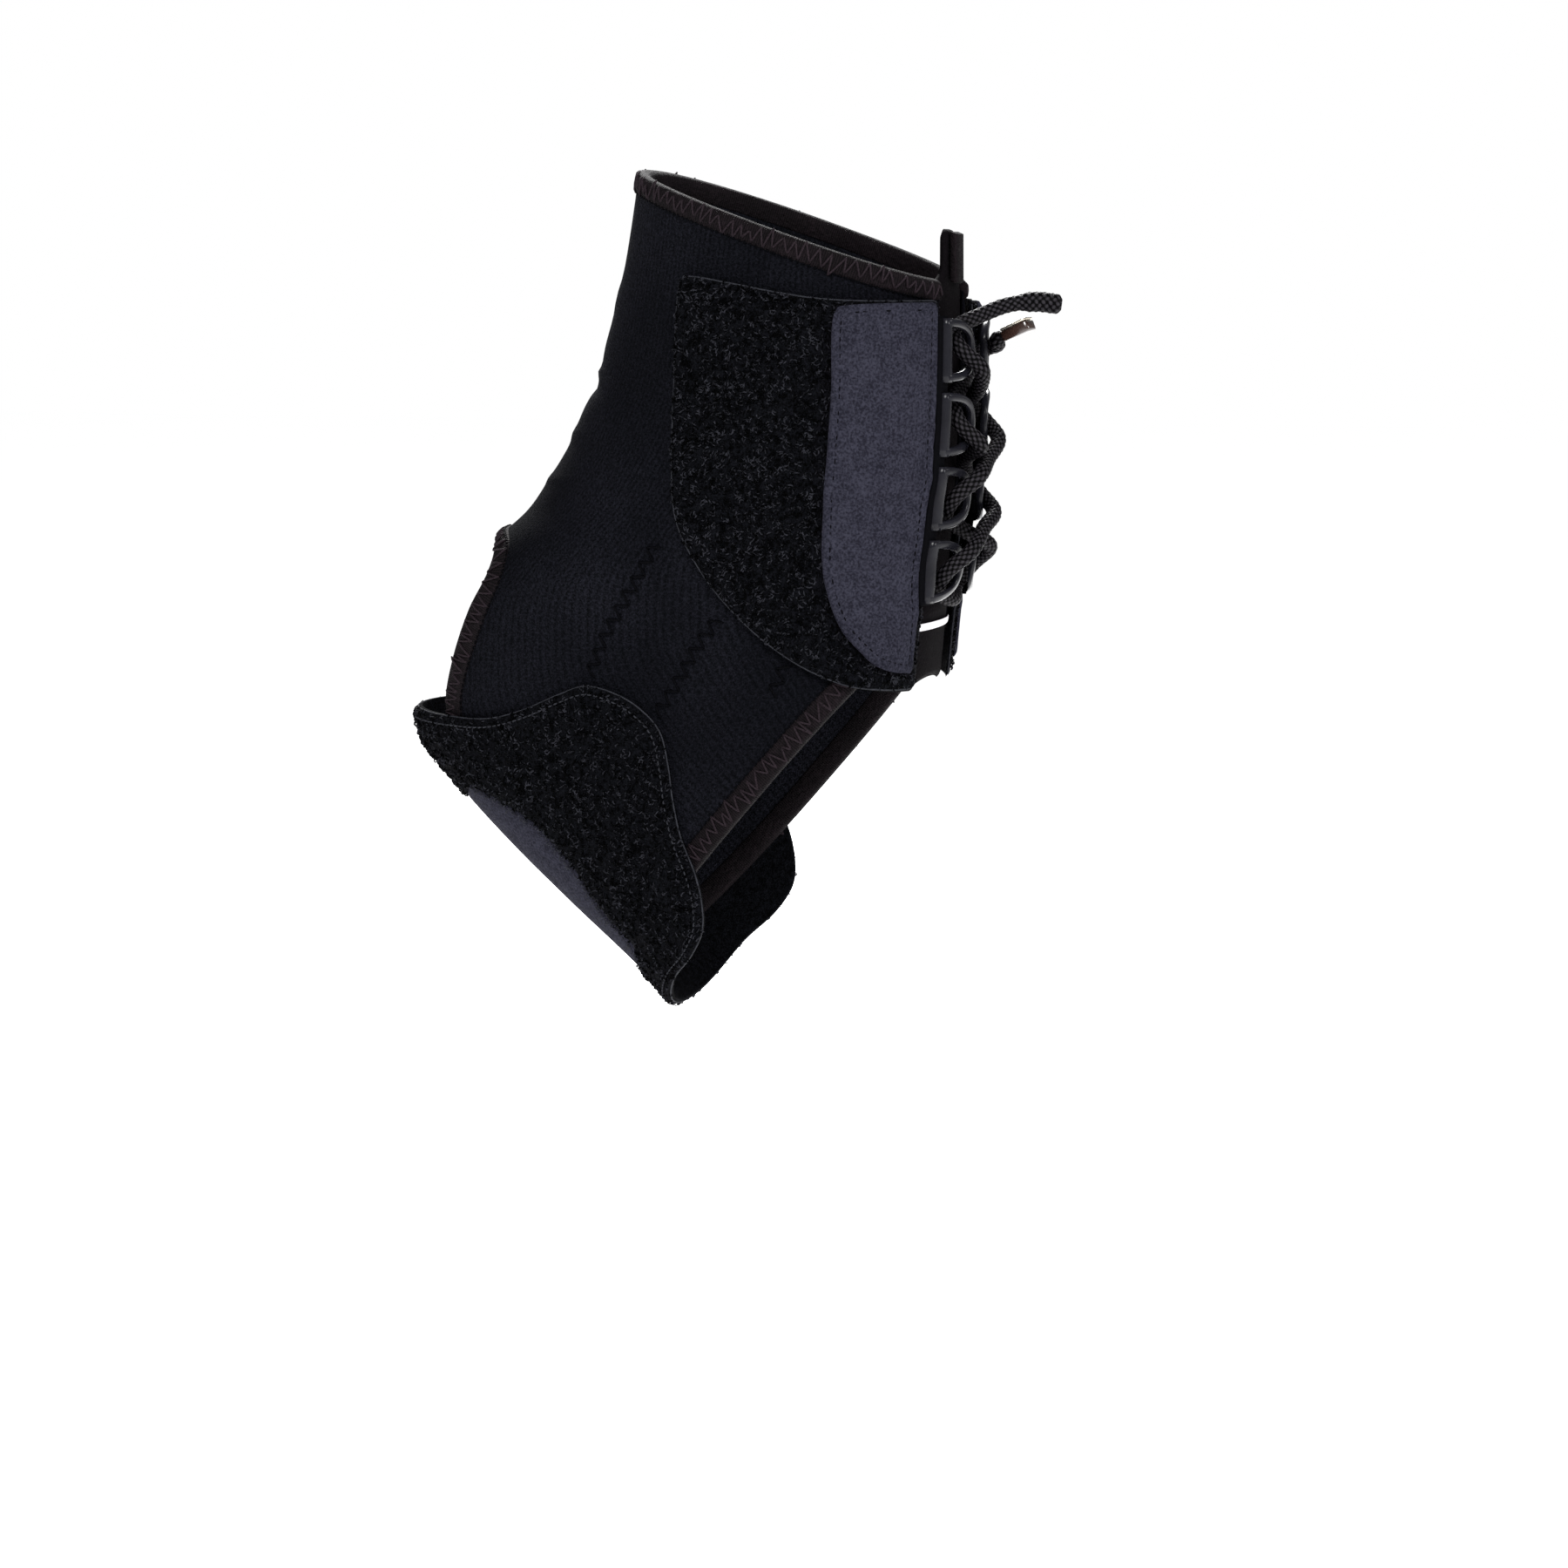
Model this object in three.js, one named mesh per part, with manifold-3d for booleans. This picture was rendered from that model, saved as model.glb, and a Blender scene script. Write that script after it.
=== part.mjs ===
// A lace-up ankle brace as it sits on a foot with the toes pointing down: a hollow stretch sleeve with an
// open heel and a front slot, bound edges, a tongue, a loop-pile wrap on each side that carries a lace panel
// and a moulded strip of four D-loops, one lace, and a stirrup strap that passes under the sole.
// Millimetres, +Z up along the leg, +X towards the toes, the origin in the middle of the ankle.

import * as THREE from "three";
import { mergeVertices } from "three/addons/utils/BufferGeometryUtils.js";
import Module from "manifold-3d";

const wasm = await Module();
wasm.setup();

// Driving dimensions
const REACH = 100; // fore-and-aft length that the shares in the tables are of
const RISE = 100; // upright length that the shares in the tables are of
const HALF_WIDTH = 33.5; // half the width of the foot across the ankle bones
const GAP = 0.3; // clearance between neighbouring pieces
const LAYER_GAP = 0.6; // and between a piece and one laid over it
const SLEEVE_THICK = 2.9;
const BINDING_STEP = 0.3; // how far the bindings stand proud of the sleeve, inside and outside
const TOP_BINDING = 5;
const HEEL_BINDING = 6.5;
const FOOT_BINDING = 5.5;
const TONGUE_THICK = 1.6;
const TONGUE_HALF = 21; // half the width of the tongue
const TONGUE_NECK = 5.2; // half its width where it rises above the rim
const TONGUE_LOW = -0.28; // heights of its lower edge, shoulder and top, as shares of RISE
const TONGUE_SHOULDER = 0.66;
const TONGUE_TOP = 0.79;
const TONGUE_CORNER = 6; // cut off its lower corners
const SLOT_TOP = 9; // half the sleeve's front slot at the rim
const SLOT_FOOT = 16.5; // and at the foot opening
const TAB_THICK = 1.8;
const TAB_HALF = 3.4;
const TAB_LOW = 0.665; // as a share of RISE
const TAB_TALL = 12;
const STRIPE_WIDE = 1.6;
const STRIPE_THICK = 0.5;
const STRIPE_HALF = 15;
const STRIPE_LOW = -0.153; // as a share of RISE
const PAD_THICK = 2.2;
const PANEL_THICK = 1.5;
const PATCH_THICK = 1.6;
const PAD_FRONT = 16; // distance of a wrap's front edge from the middle of the foot
const STRIP_WIDE = 3;
const STRIP_THICK = 2.5;
const STRIP_PAST = 0.5; // how far the strip runs past its end loops
const LOOP_COUNT = 4;
const LOOP_TOP = 0.513; // height of the highest loop, as a share of RISE
const LOOP_PITCH = 0.174; // as a share of RISE
const LOOP_TALL = 15;
const LOOP_REACH = 11.5;
const LOOP_WIRE = 1.05; // radius of a loop's rim
const LOOP_LIFT = 0.4; // how far the loops lie outside the middle of the strip
const LOOP_SQUARE = 0.8; // 1 is a half ellipse, less is squarer
const LACE_DIAMETER = 3.6;
const TAG_LONG = 8;
const TAG_WIDE = 4.4;

// Layers, as distances from the skin
const SLEEVE_IN = BINDING_STEP;
const SLEEVE_OUT = SLEEVE_IN + SLEEVE_THICK;
const BINDING_OUT = SLEEVE_OUT + BINDING_STEP;
const TONGUE_IN = GAP;
const TONGUE_OUT = TONGUE_IN + TONGUE_THICK;
const PAD_IN = BINDING_OUT + LAYER_GAP;
const PAD_OUT = PAD_IN + PAD_THICK;
const PANEL_IN = PAD_OUT + LAYER_GAP;
const PANEL_OUT = PANEL_IN + PANEL_THICK;
const LOOP_OFF = PANEL_IN + STRIP_THICK / 2 + LOOP_LIFT;

// The foot inside the brace, from the leg above the rim round the heel to the foot beyond the opening.
// Each row is an oval whose plane holds the Y axis: its back and front points, its half width, and how
// full its back and front halves are (2 is an ellipse, more is squarer).
const SECTIONS = [
  { backX: -0.207, backZ: 1.1, frontX: 0.505, frontZ: 0.8, wide: 0.94, back: 2.1, front: 2.5 },
  { backX: -0.218, backZ: 0.933, frontX: 0.505, frontZ: 0.68, wide: 0.93, back: 2.1, front: 2.5 },
  { backX: -0.29, backZ: 0.544, frontX: 0.505, frontZ: 0.455, wide: 0.9, back: 2, front: 2.5 },
  { backX: -0.357, backZ: 0.372, frontX: 0.505, frontZ: 0.36, wide: 0.9, back: 1.95, front: 2.5 },
  { backX: -0.441, backZ: 0.228, frontX: 0.503, frontZ: 0.275, wide: 0.94, back: 1.9, front: 2.4 },
  { backX: -0.53, backZ: 0.115, frontX: 0.5, frontZ: 0.21, wide: 0.985, back: 1.95, front: 2.4 },
  { backX: -0.678, backZ: -0.017, frontX: 0.498, frontZ: 0.155, wide: 1, back: 2, front: 2.3 },
  { backX: -0.78, backZ: -0.145, frontX: 0.496, frontZ: 0.1, wide: 1, back: 2.1, front: 2.3 },
  { backX: -0.8, backZ: -0.29, frontX: 0.493, frontZ: 0.05, wide: 0.985, back: 2.15, front: 2.3 },
  { backX: -0.79, backZ: -0.44, frontX: 0.49, frontZ: 0.005, wide: 0.955, back: 2.2, front: 2.3 },
  { backX: -0.695, backZ: -0.559, frontX: 0.488, frontZ: -0.04, wide: 0.94, back: 2.2, front: 2.3 },
  { backX: -0.561, backZ: -0.69, frontX: 0.486, frontZ: -0.08, wide: 0.94, back: 2.25, front: 2.3 },
  { backX: -0.4, backZ: -0.829, frontX: 0.484, frontZ: -0.12, wide: 0.955, back: 2.3, front: 2.3 },
  { backX: -0.224, backZ: -0.976, frontX: 0.479, frontZ: -0.155, wide: 0.985, back: 2.3, front: 2.3 },
  { backX: -0.11, backZ: -1.085, frontX: 0.466, frontZ: -0.28, wide: 1.015, back: 2.3, front: 2.3 },
  { backX: -0.01, backZ: -1.19, frontX: 0.454, frontZ: -0.42, wide: 1.045, back: 2.3, front: 2.3 },
];
const RIM_ROW = 1; // the row that the sleeve's upper edge lies in
const OPENING_ROW = 13; // the row that its foot opening lies in
const LAST_ROW = SECTIONS.length - 1;
const ROW_STEPS = 2; // rings of faces for each row, in what covers the heel
const FRONT_STEPS = 1; // and in what lies on the front, where the rows come close together
const AROUND = 30; // faces round the foot

// Folds of the stretched sleeve over the tendon and in the bend above the heel: place along the rows,
// angle from the front, height as a share of the sleeve's thickness, and half lengths along and round.
const FOLDS = [
  { along: 2.1, angle: 180, high: 0.5, long: 0.35, wide: 50 },
  { along: 3.1, angle: 180, high: 0.35, long: 0.35, wide: 55 },
  { along: 5.1, angle: 165, high: -0.35, long: 0.5, wide: 60 },
];

// Side outlines, as shares of REACH and RISE. A piece runs past the silhouette where its outline does.
const WRAP_OUTLINE = [
  [-0.05, 0.685], [0.08, 0.67], [0.2, 0.648], [0.34, 0.63], [0.9, 0.625], [0.9, -0.275], [0.5, -0.28],
  [0.44, -0.277], [0.35, -0.263], [0.25, -0.223], [0.15, -0.155], [0.07, -0.073], [0.01, 0.01],
  [-0.04, 0.11], [-0.063, 0.25], [-0.068, 0.45],
];
const PANEL_OUTLINE = [
  [0.36, 0.618], [0.9, 0.618], [0.9, -0.24], [0.49, -0.24], [0.437, -0.223], [0.387, -0.182],
  [0.345, -0.132], [0.315, -0.05], [0.307, 0.033], [0.318, 0.2], [0.331, 0.42], [0.343, 0.6],
];
const STRAP_OUTLINE = [
  [-1.1, -0.38], [-0.68, -0.39], [-0.56, -0.385], [-0.455, -0.356], [-0.355, -0.313], [-0.284, -0.289],
  [-0.216, -0.301], [-0.149, -0.334], [-0.094, -0.39], [-0.072, -0.473], [-0.061, -0.557], [-0.04, -0.65],
  [-0.006, -0.733], [0.01, -0.806], [0.008, -0.871], [-0.031, -0.941], [-0.1, -1.015], [-0.165, -1.13],
  [-0.3, -1.4], [-1.3, -0.6],
];
const PATCH_OUTLINE = [
  [-0.66, -0.575], [-0.6, -0.59], [-0.55, -0.61], [-0.47, -0.647], [-0.4, -0.707], [-0.345, -0.78],
  [-0.295, -0.868], [-0.22, -0.965], [-0.4, -1.2], [-0.9, -0.8],
];
const HEEL_EDGE = [
  [-0.8, 0.07], [-0.64, 0.055], [-0.575, 0.02], [-0.575, -0.03], [-0.62, -0.12], [-0.675, -0.25],
  [-0.7, -0.35], [-0.69, -0.44], [-0.655, -0.5], [-0.64, -0.56], [-0.68, -0.64], [-0.8, -0.76],
];

// The lace follows these points: from the near free end down through the loops and back up to the tag.
const LACE_POINTS = [
  [78.5, 3, 61.8], [72.5, 1.6, 62.5], [66, -0.6, 61.7], [60.5, -3, 59.4], [54.8, -8.2, 55.8],
  [57.6, -11.2, 51.6], [61.8, -8.6, 47.2], [60.7, -3.5, 43.6], [58.6, 0.5, 41.3], [54.8, 8.6, 38.2],
  [57.6, 11.2, 34], [61.7, 8.6, 29.8], [61.4, 0, 25], [61.4, -8.9, 21],
  [56.5, -11.2, 16.6], [53.3, -9, 11.8], [54.2, -4, 9.6], [56.6, 0, 7.4], [59.7, 9, 3.4],
  [55, 11.4, -0.8], [51.4, 8.7, -5.6], [53, 0, -8.6], [51.4, -8.7, -5.6],
  [55, -11.4, -0.8], [59.7, -9, 3.4], [60.6, 0, 8.6], [60.8, 8.4, 12.2],
  [56.5, 11.2, 16.4], [54, 8.4, 21], [54.6, 4, 23.4], [56, 0, 25.6], [58.4, -3.4, 26.8], [61.8, -8.2, 29],
  [57.6, -11.2, 33.8], [55, -8.2, 38.4], [54.6, 0, 42.2], [54.9, 8.8, 46.9],
  [57.6, 11.2, 51], [61.2, 9.1, 52.2], [61.7, 6.8, 53.4], [63.4, 6.2, 54.2],
];

// Finishes
const finish = (color, roughness) => new THREE.MeshStandardMaterial({ color, roughness, metalness: 0 });
const KNIT = finish(0x0d1017, 0.85);
const BINDING = finish(0x1b1517, 0.8);
const PILE = finish(0x101217, 0.95);
const FELT = finish(0x33363f, 0.9);
const PLASTIC = finish(0x33353b, 0.35);
const CORD = finish(0x0c0d12, 0.6);
const STRIPE = finish(0xd9d4d6, 0.8);

// The outer form
const radians = THREE.MathUtils.degToRad;
const signedPower = (value, power) => Math.sign(value) * Math.abs(value) ** power;

function blend(before, from, to, after, t) {
  const straight = 2 * from + (to - before) * t;
  const bend = (2 * before - 5 * from + 4 * to - after) * t ** 2 + (3 * from - before - 3 * to + after) * t ** 3;
  return (straight + bend) / 2;
}

function sectionAt(along) {
  const first = THREE.MathUtils.clamp(Math.floor(along), 0, LAST_ROW - 1);
  const row = (index) => SECTIONS[THREE.MathUtils.clamp(index, 0, LAST_ROW)];
  const column = (name) =>
    blend(row(first - 1)[name], row(first)[name], row(first + 1)[name], row(first + 2)[name], along - first);
  return Object.fromEntries(Object.keys(SECTIONS[0]).map((name) => [name, column(name)]));
}

// The point of the form at a row and an angle from the front, that far off the skin. The far side is +Y.
function onForm(along, angle, off) {
  const section = sectionAt(along);
  const back = new THREE.Vector2(section.backX * REACH, section.backZ * RISE);
  const front = new THREE.Vector2(section.frontX * REACH, section.frontZ * RISE);
  const half = back.distanceTo(front) / 2;
  const wide = section.wide * HALF_WIDTH;
  const fullness = Math.cos(angle) > 0 ? section.front : section.back;
  const forward = half * signedPower(Math.cos(angle), 2 / fullness);
  const sideways = wide * signedPower(Math.sin(angle), 2 / fullness);
  const normal = new THREE.Vector2(
    signedPower(forward / half, fullness - 1) / half,
    signedPower(sideways / wide, fullness - 1) / wide,
  ).normalize();
  const place = back.clone().add(front).divideScalar(2);
  place.addScaledVector(front.clone().sub(back).divideScalar(2 * half), forward + off * normal.x);
  return new THREE.Vector3(place.x, sideways + off * normal.y, place.y);
}

function foldHeight(along, angle) {
  const turned = (fold) => Math.abs(Math.abs(THREE.MathUtils.radToDeg(angle)) - fold.angle) / fold.wide;
  return FOLDS.reduce((sum, fold) => {
    const away = ((along - fold.along) / fold.long) ** 2 + turned(fold) ** 2;
    return sum + fold.high * SLEEVE_THICK * Math.exp(-away);
  }, 0);
}

// A bisection for the value between low and high where a rising or falling function reaches the target
function solve(measure, target, low, high) {
  const rising = measure(high) > measure(low);
  for (let turn = 0; turn < 26; turn += 1) {
    const middle = (low + high) / 2;
    if (measure(middle) < target === rising) low = middle;
    else high = middle;
  }
  return (low + high) / 2;
}

// The point on the front of the form that is at a given distance from the middle plane, height and layer
function onFront(side, height, off) {
  const angleAt = (along) => solve((angle) => onForm(along, angle, off).y, side, -1.5, 1.5);
  const along = solve((row) => onForm(row, angleAt(row), off).z, height, 0, LAST_ROW);
  return onForm(along, angleAt(along), off);
}

// Solids
const toSolid = (geometry) => {
  geometry.deleteAttribute("normal");
  geometry.deleteAttribute("uv");
  const merged = mergeVertices(geometry, 1e-4);
  const vertProperties = new Float32Array(merged.attributes.position.array);
  return new wasm.Manifold(new wasm.Mesh({ numProp: 3, vertProperties, triVerts: new Uint32Array(merged.index.array) }));
};

function toGeometry(solid) {
  const mesh = solid.getMesh();
  const geometry = new THREE.BufferGeometry();
  geometry.setAttribute("position", new THREE.BufferAttribute(new Float32Array(mesh.vertProperties), 3));
  geometry.setIndex(new THREE.BufferAttribute(new Uint32Array(mesh.triVerts), 1));
  return geometry;
}

// A closed mesh made into a solid, turned so that its faces point out
function fromFaces(points, faces) {
  let volume = 0;
  for (let face = 0; face < faces.length; face += 3) {
    const [a, b, c] = faces.slice(face, face + 3).map((index) => points[index]);
    volume += a.dot(b.clone().cross(c));
  }
  const geometry = new THREE.BufferGeometry().setFromPoints(points);
  geometry.setIndex(volume > 0 ? faces : faces.slice().reverse());
  return toSolid(geometry);
}

// Closed rings of points joined in order, the first and last ring closed with a face or, for a ring of
// rings such as a hollow wall, joined to each other
function loft(rings, hollow) {
  const count = rings[0].length;
  const faces = [];
  const spans = hollow ? rings.length : rings.length - 1;
  for (let ring = 0; ring < spans; ring += 1) {
    for (let step = 0; step < count; step += 1) {
      const [here, next] = [ring * count, ((ring + 1) % rings.length) * count];
      const after = (step + 1) % count;
      faces.push(here + step, here + after, next + after, here + step, next + after, next + step);
    }
  }
  const last = (rings.length - 1) * count;
  for (let step = 1; step < count - 1 && !hollow; step += 1) {
    faces.push(0, step + 1, step, last, last + step, last + step + 1);
  }
  return fromFaces(rings.flat(), faces);
}

// The wall between two distances from the skin, open where the leg and the foot pass
function wall(inner, outer, { first = 0, last = LAST_ROW, rowSteps = ROW_STEPS, fold = () => 0 } = {}) {
  const steps = Math.round((last - first) * rowSteps);
  const ring = (step, off) =>
    Array.from({ length: AROUND }, (_, index) => {
      const along = first + (step / steps) * (last - first);
      const angle = radians((index / AROUND) * 360 - 180);
      return onForm(along, angle, off + fold(along, angle));
    });
  const inside = Array.from({ length: steps + 1 }, (_, step) => ring(step, inner));
  const outside = Array.from({ length: steps + 1 }, (_, step) => ring(steps - step, outer));
  return loft([...inside, ...outside], true);
}

const FAR_OUT = 3 * HALF_WIDTH;

// A side outline made into a block between two distances from the middle plane, on the far side (+Y)
function sideBlock(outline, from = -FAR_OUT, to = FAR_OUT) {
  const geometry = new THREE.ExtrudeGeometry(new THREE.Shape(outline), { depth: to - from, bevelEnabled: false });
  return toSolid(geometry.rotateX(Math.PI / 2).translate(0, to, 0));
}

// A front outline, in Y and Z, made into a block that covers the front of the foot
function frontBlock(outline) {
  const depth = 2 * REACH;
  const geometry = new THREE.ExtrudeGeometry(new THREE.Shape(outline), { depth, bevelEnabled: false });
  return toSolid(geometry.rotateX(Math.PI / 2).rotateZ(Math.PI / 2));
}

const scaled = (outline) => outline.map(([reach, rise]) => new THREE.Vector2(reach * REACH, rise * RISE));

// A line of points moved sideways, to the left of its direction
function beside(line, distance) {
  return line.map((point, index) => {
    const along = line[Math.min(index + 1, line.length - 1)].clone().sub(line[Math.max(index - 1, 0)]).normalize();
    return new THREE.Vector2(point.x - along.y * distance, point.y + along.x * distance);
  });
}

const between = (one, other) => [...one, ...other.slice().reverse()];
const mirrored = (solid) => solid.mirror([0, 1, 0]);

// Edges of the sleeve
function chordOf(row, past) {
  const [back, front] = [Math.PI, 0].map((angle) => onForm(row, angle, past));
  return [new THREE.Vector2(back.x, back.z), new THREE.Vector2(front.x, front.z)];
}

const RIM = chordOf(RIM_ROW, REACH / 2);
const OPENING = chordOf(OPENING_ROW, REACH / 2);
const HEEL = scaled(HEEL_EDGE);
const topBand = (from, to) => sideBlock(between(beside(RIM, -from), beside(RIM, -to)));
const footBand = (from, to) => sideBlock(between(beside(OPENING, from), beside(OPENING, to)));
const heelBand = (from, to) => sideBlock(between(beside(HEEL, from), beside(HEEL, to)));
const heelHole = sideBlock([...HEEL, new THREE.Vector2(-2 * REACH, -RISE), new THREE.Vector2(-2 * REACH, 0.1 * RISE)]);

const slot = frontBlock([
  new THREE.Vector2(-SLOT_TOP, RISE), new THREE.Vector2(-SLOT_FOOT, -0.3 * RISE),
  new THREE.Vector2(SLOT_FOOT, -0.3 * RISE), new THREE.Vector2(SLOT_TOP, RISE),
]);
const tongueOutline = (margin) => {
  const [low, shoulder, high] = [TONGUE_LOW * RISE - margin, TONGUE_SHOULDER * RISE + margin, TONGUE_TOP * RISE + margin];
  const [wide, neck, corner] = [TONGUE_HALF + margin, TONGUE_NECK + margin, TONGUE_CORNER];
  const nearHalf = [
    [wide - corner, low], [wide, low + corner], [wide, shoulder - 1.3 * corner], [wide - corner, shoulder - corner / 3],
    [neck, shoulder + corner / 2], [neck, high - corner / 3], [neck - corner / 3, high],
  ];
  const farHalf = nearHalf.map(([side, height]) => [-side, height]);
  return between(nearHalf, farHalf).map(([side, height]) => new THREE.Vector2(side, height));
};
const box = (half, low, high) => [
  new THREE.Vector2(-half, low), new THREE.Vector2(half, low), new THREE.Vector2(half, high), new THREE.Vector2(-half, high),
];

// The sleeve and its bindings
const ON_FRONT = { rowSteps: FRONT_STEPS };
const SLEEVE_ROWS = { first: RIM_ROW, last: OPENING_ROW, fold: foldHeight };
const tongueRoom = wall(-1, TONGUE_OUT + GAP, ON_FRONT).intersect(frontBlock(tongueOutline(GAP)));
const wholeBinding = wall(0, BINDING_OUT, SLEEVE_ROWS).subtract(tongueRoom).subtract(slot);
const sleeve = wall(SLEEVE_IN, SLEEVE_OUT, SLEEVE_ROWS)
  .subtract(tongueRoom)
  .subtract(slot)
  .subtract(topBand(-1, TOP_BINDING + GAP))
  .subtract(footBand(-1, FOOT_BINDING + GAP))
  .subtract(heelHole)
  .subtract(heelBand(-1, HEEL_BINDING + GAP));
const topBinding = wholeBinding.intersect(topBand(-1, TOP_BINDING));
const footBinding = wholeBinding.intersect(footBand(-1, FOOT_BINDING));
const heelBinding = wholeBinding.intersect(heelBand(0, HEEL_BINDING));

// The tongue, its pull tab and its stripe
const tongue = wall(TONGUE_IN, TONGUE_OUT, ON_FRONT).intersect(frontBlock(tongueOutline(0)));
const onTongue = (thick, half, low, tall) =>
  wall(TONGUE_OUT + LAYER_GAP, TONGUE_OUT + LAYER_GAP + thick, ON_FRONT)
    .intersect(frontBlock(box(half, low * RISE, low * RISE + tall)));
const pullTab = onTongue(TAB_THICK, TAB_HALF, TAB_LOW, TAB_TALL);
const stripe = onTongue(STRIPE_THICK, STRIPE_HALF, STRIPE_LOW, STRIPE_WIDE);

// The wraps and the lace panels, for the far side
const wrap = wall(PAD_IN, PAD_OUT, ON_FRONT).intersect(sideBlock(scaled(WRAP_OUTLINE), PAD_FRONT));
const PANEL_FRONT = PAD_FRONT + STRIP_WIDE + 2 * GAP;
const panel = wall(PANEL_IN, PANEL_OUT, ON_FRONT).intersect(sideBlock(scaled(PANEL_OUTLINE), PANEL_FRONT));

// The stirrup strap and the smooth patch in its cut-out under the sole
const patchBlock = (margin) => sideBlock(beside(scaled(PATCH_OUTLINE), margin));
const strap = wall(PAD_IN, PAD_OUT).intersect(sideBlock(scaled(STRAP_OUTLINE))).subtract(patchBlock(2 * GAP));
const patch = wall(PAD_IN, PAD_IN + PATCH_THICK).intersect(patchBlock(0));

// The moulded strip with its D-loops, for the far side
const loopHeight = (index) => (LOOP_TOP - index * LOOP_PITCH) * RISE;

function stripBase() {
  const past = LOOP_TALL / 2 + STRIP_PAST;
  const [high, low] = [loopHeight(0) + past, loopHeight(LOOP_COUNT - 1) - past];
  const [near, wide] = [PAD_FRONT + GAP, PAD_FRONT + GAP + STRIP_WIDE];
  const [under, over] = [PANEL_IN, PANEL_IN + STRIP_THICK];
  const steps = 2 * LOOP_COUNT;
  return loft(
    Array.from({ length: steps + 1 }, (_, step) => {
      const height = high + (step / steps) * (low - high);
      const corners = [[near, under], [wide, under], [wide, over], [near, over]];
      return corners.map(([side, off]) => onFront(side, height, off));
    }),
  );
}

function loop(index) {
  const [sides, steps] = [5, 8];
  const root = PAD_FRONT + GAP + STRIP_WIDE / 2;
  const centre = (turn) => [
    root - (LOOP_REACH + STRIP_WIDE / 2 - LOOP_WIRE) * Math.sin(turn) ** LOOP_SQUARE,
    loopHeight(index) + (LOOP_TALL / 2 - LOOP_WIRE) * signedPower(Math.cos(turn), LOOP_SQUARE),
  ];
  const path = Array.from({ length: steps + 1 }, (_, step) => onFront(...centre((step / steps) * Math.PI), LOOP_OFF));
  return loft(
    path.map((point, step) => {
      const along = path[Math.min(step + 1, steps)].clone().sub(path[Math.max(step - 1, 0)]).normalize();
      const out = onFront(...centre((step / steps) * Math.PI), LOOP_OFF + 1).sub(point);
      const across = along.clone().cross(out).normalize();
      const upright = across.clone().cross(along);
      return Array.from({ length: sides }, (_, corner) => {
        const turn = (corner / sides) * 2 * Math.PI;
        return point.clone()
          .addScaledVector(across, LOOP_WIRE * Math.cos(turn))
          .addScaledVector(upright, LOOP_WIRE * Math.sin(turn));
      });
    }),
  );
}

function laceStrip() {
  return Array.from({ length: LOOP_COUNT }, (_, index) => loop(index))
    .reduce((strip, ring) => strip.add(ring), stripBase());
}

// The lace and the tag clipped on its second end
const laceRoute = new THREE.CatmullRomCurve3(
  LACE_POINTS.map((point) => new THREE.Vector3(...point)), false, "centripetal");

function laceTube() {
  const [sides, steps] = [8, 56];
  const corner = (index) => (index / sides) * 2 * Math.PI;
  const section = Array.from({ length: sides }, (_, index) =>
    new THREE.Vector2(Math.cos(corner(index)), Math.sin(corner(index))).multiplyScalar(LACE_DIAMETER / 2));
  return toSolid(
    new THREE.ExtrudeGeometry(new THREE.Shape(section), { steps, extrudePath: laceRoute, bevelEnabled: false }));
}

function tag() {
  const along = laceRoute.getTangent(1);
  const block = new THREE.BoxGeometry(TAG_WIDE, TAG_WIDE, TAG_LONG);
  const middle = laceRoute.getPoint(1).addScaledVector(along, TAG_LONG / 2 + GAP);
  block.applyQuaternion(new THREE.Quaternion().setFromUnitVectors(new THREE.Vector3(0, 0, 1), along));
  return toSolid(block.translate(middle.x, middle.y, middle.z));
}

// The assembly
const brace = new THREE.Group();
brace.name = "ankle_brace";

function add(name, solid, material) {
  const mesh = new THREE.Mesh(toGeometry(solid), material);
  mesh.name = name;
  brace.add(mesh);
}

add("sleeve", sleeve, KNIT);
add("top_binding", topBinding, BINDING);
add("foot_binding", footBinding, BINDING);
add("heel_binding", heelBinding, BINDING);
add("tongue", tongue, BINDING);
add("pull_tab", pullTab, BINDING);
add("tongue_stripe", stripe, STRIPE);
add("stirrup_strap", strap, PILE);
add("sole_patch", patch, FELT);

const strip = laceStrip();
for (const [side, place] of [["near", mirrored], ["far", (solid) => solid]]) {
  add(`${side}_wrap`, place(wrap), PILE);
  add(`${side}_lace_panel`, place(panel), FELT);
  add(`${side}_loop_strip`, place(strip), PLASTIC);
}

add("lace", laceTube(), CORD);
add("lace_tag", tag(), PLASTIC);

export default brace;
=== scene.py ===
# %% [markdown]
# A lace-up ankle brace
#
# The plain solids of this brace were drawn first, at their real size. This script keeps them as a fixed
# frame and lays a finished piece over each one: knit, loop pile, felt, bound and stitched edges, moulded
# loops and a braided lace. Each piece follows the same rows and outlines as its solid and stands only a
# little proud of it, so nothing has to be fitted.

# %% Load the frame
import math

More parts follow.
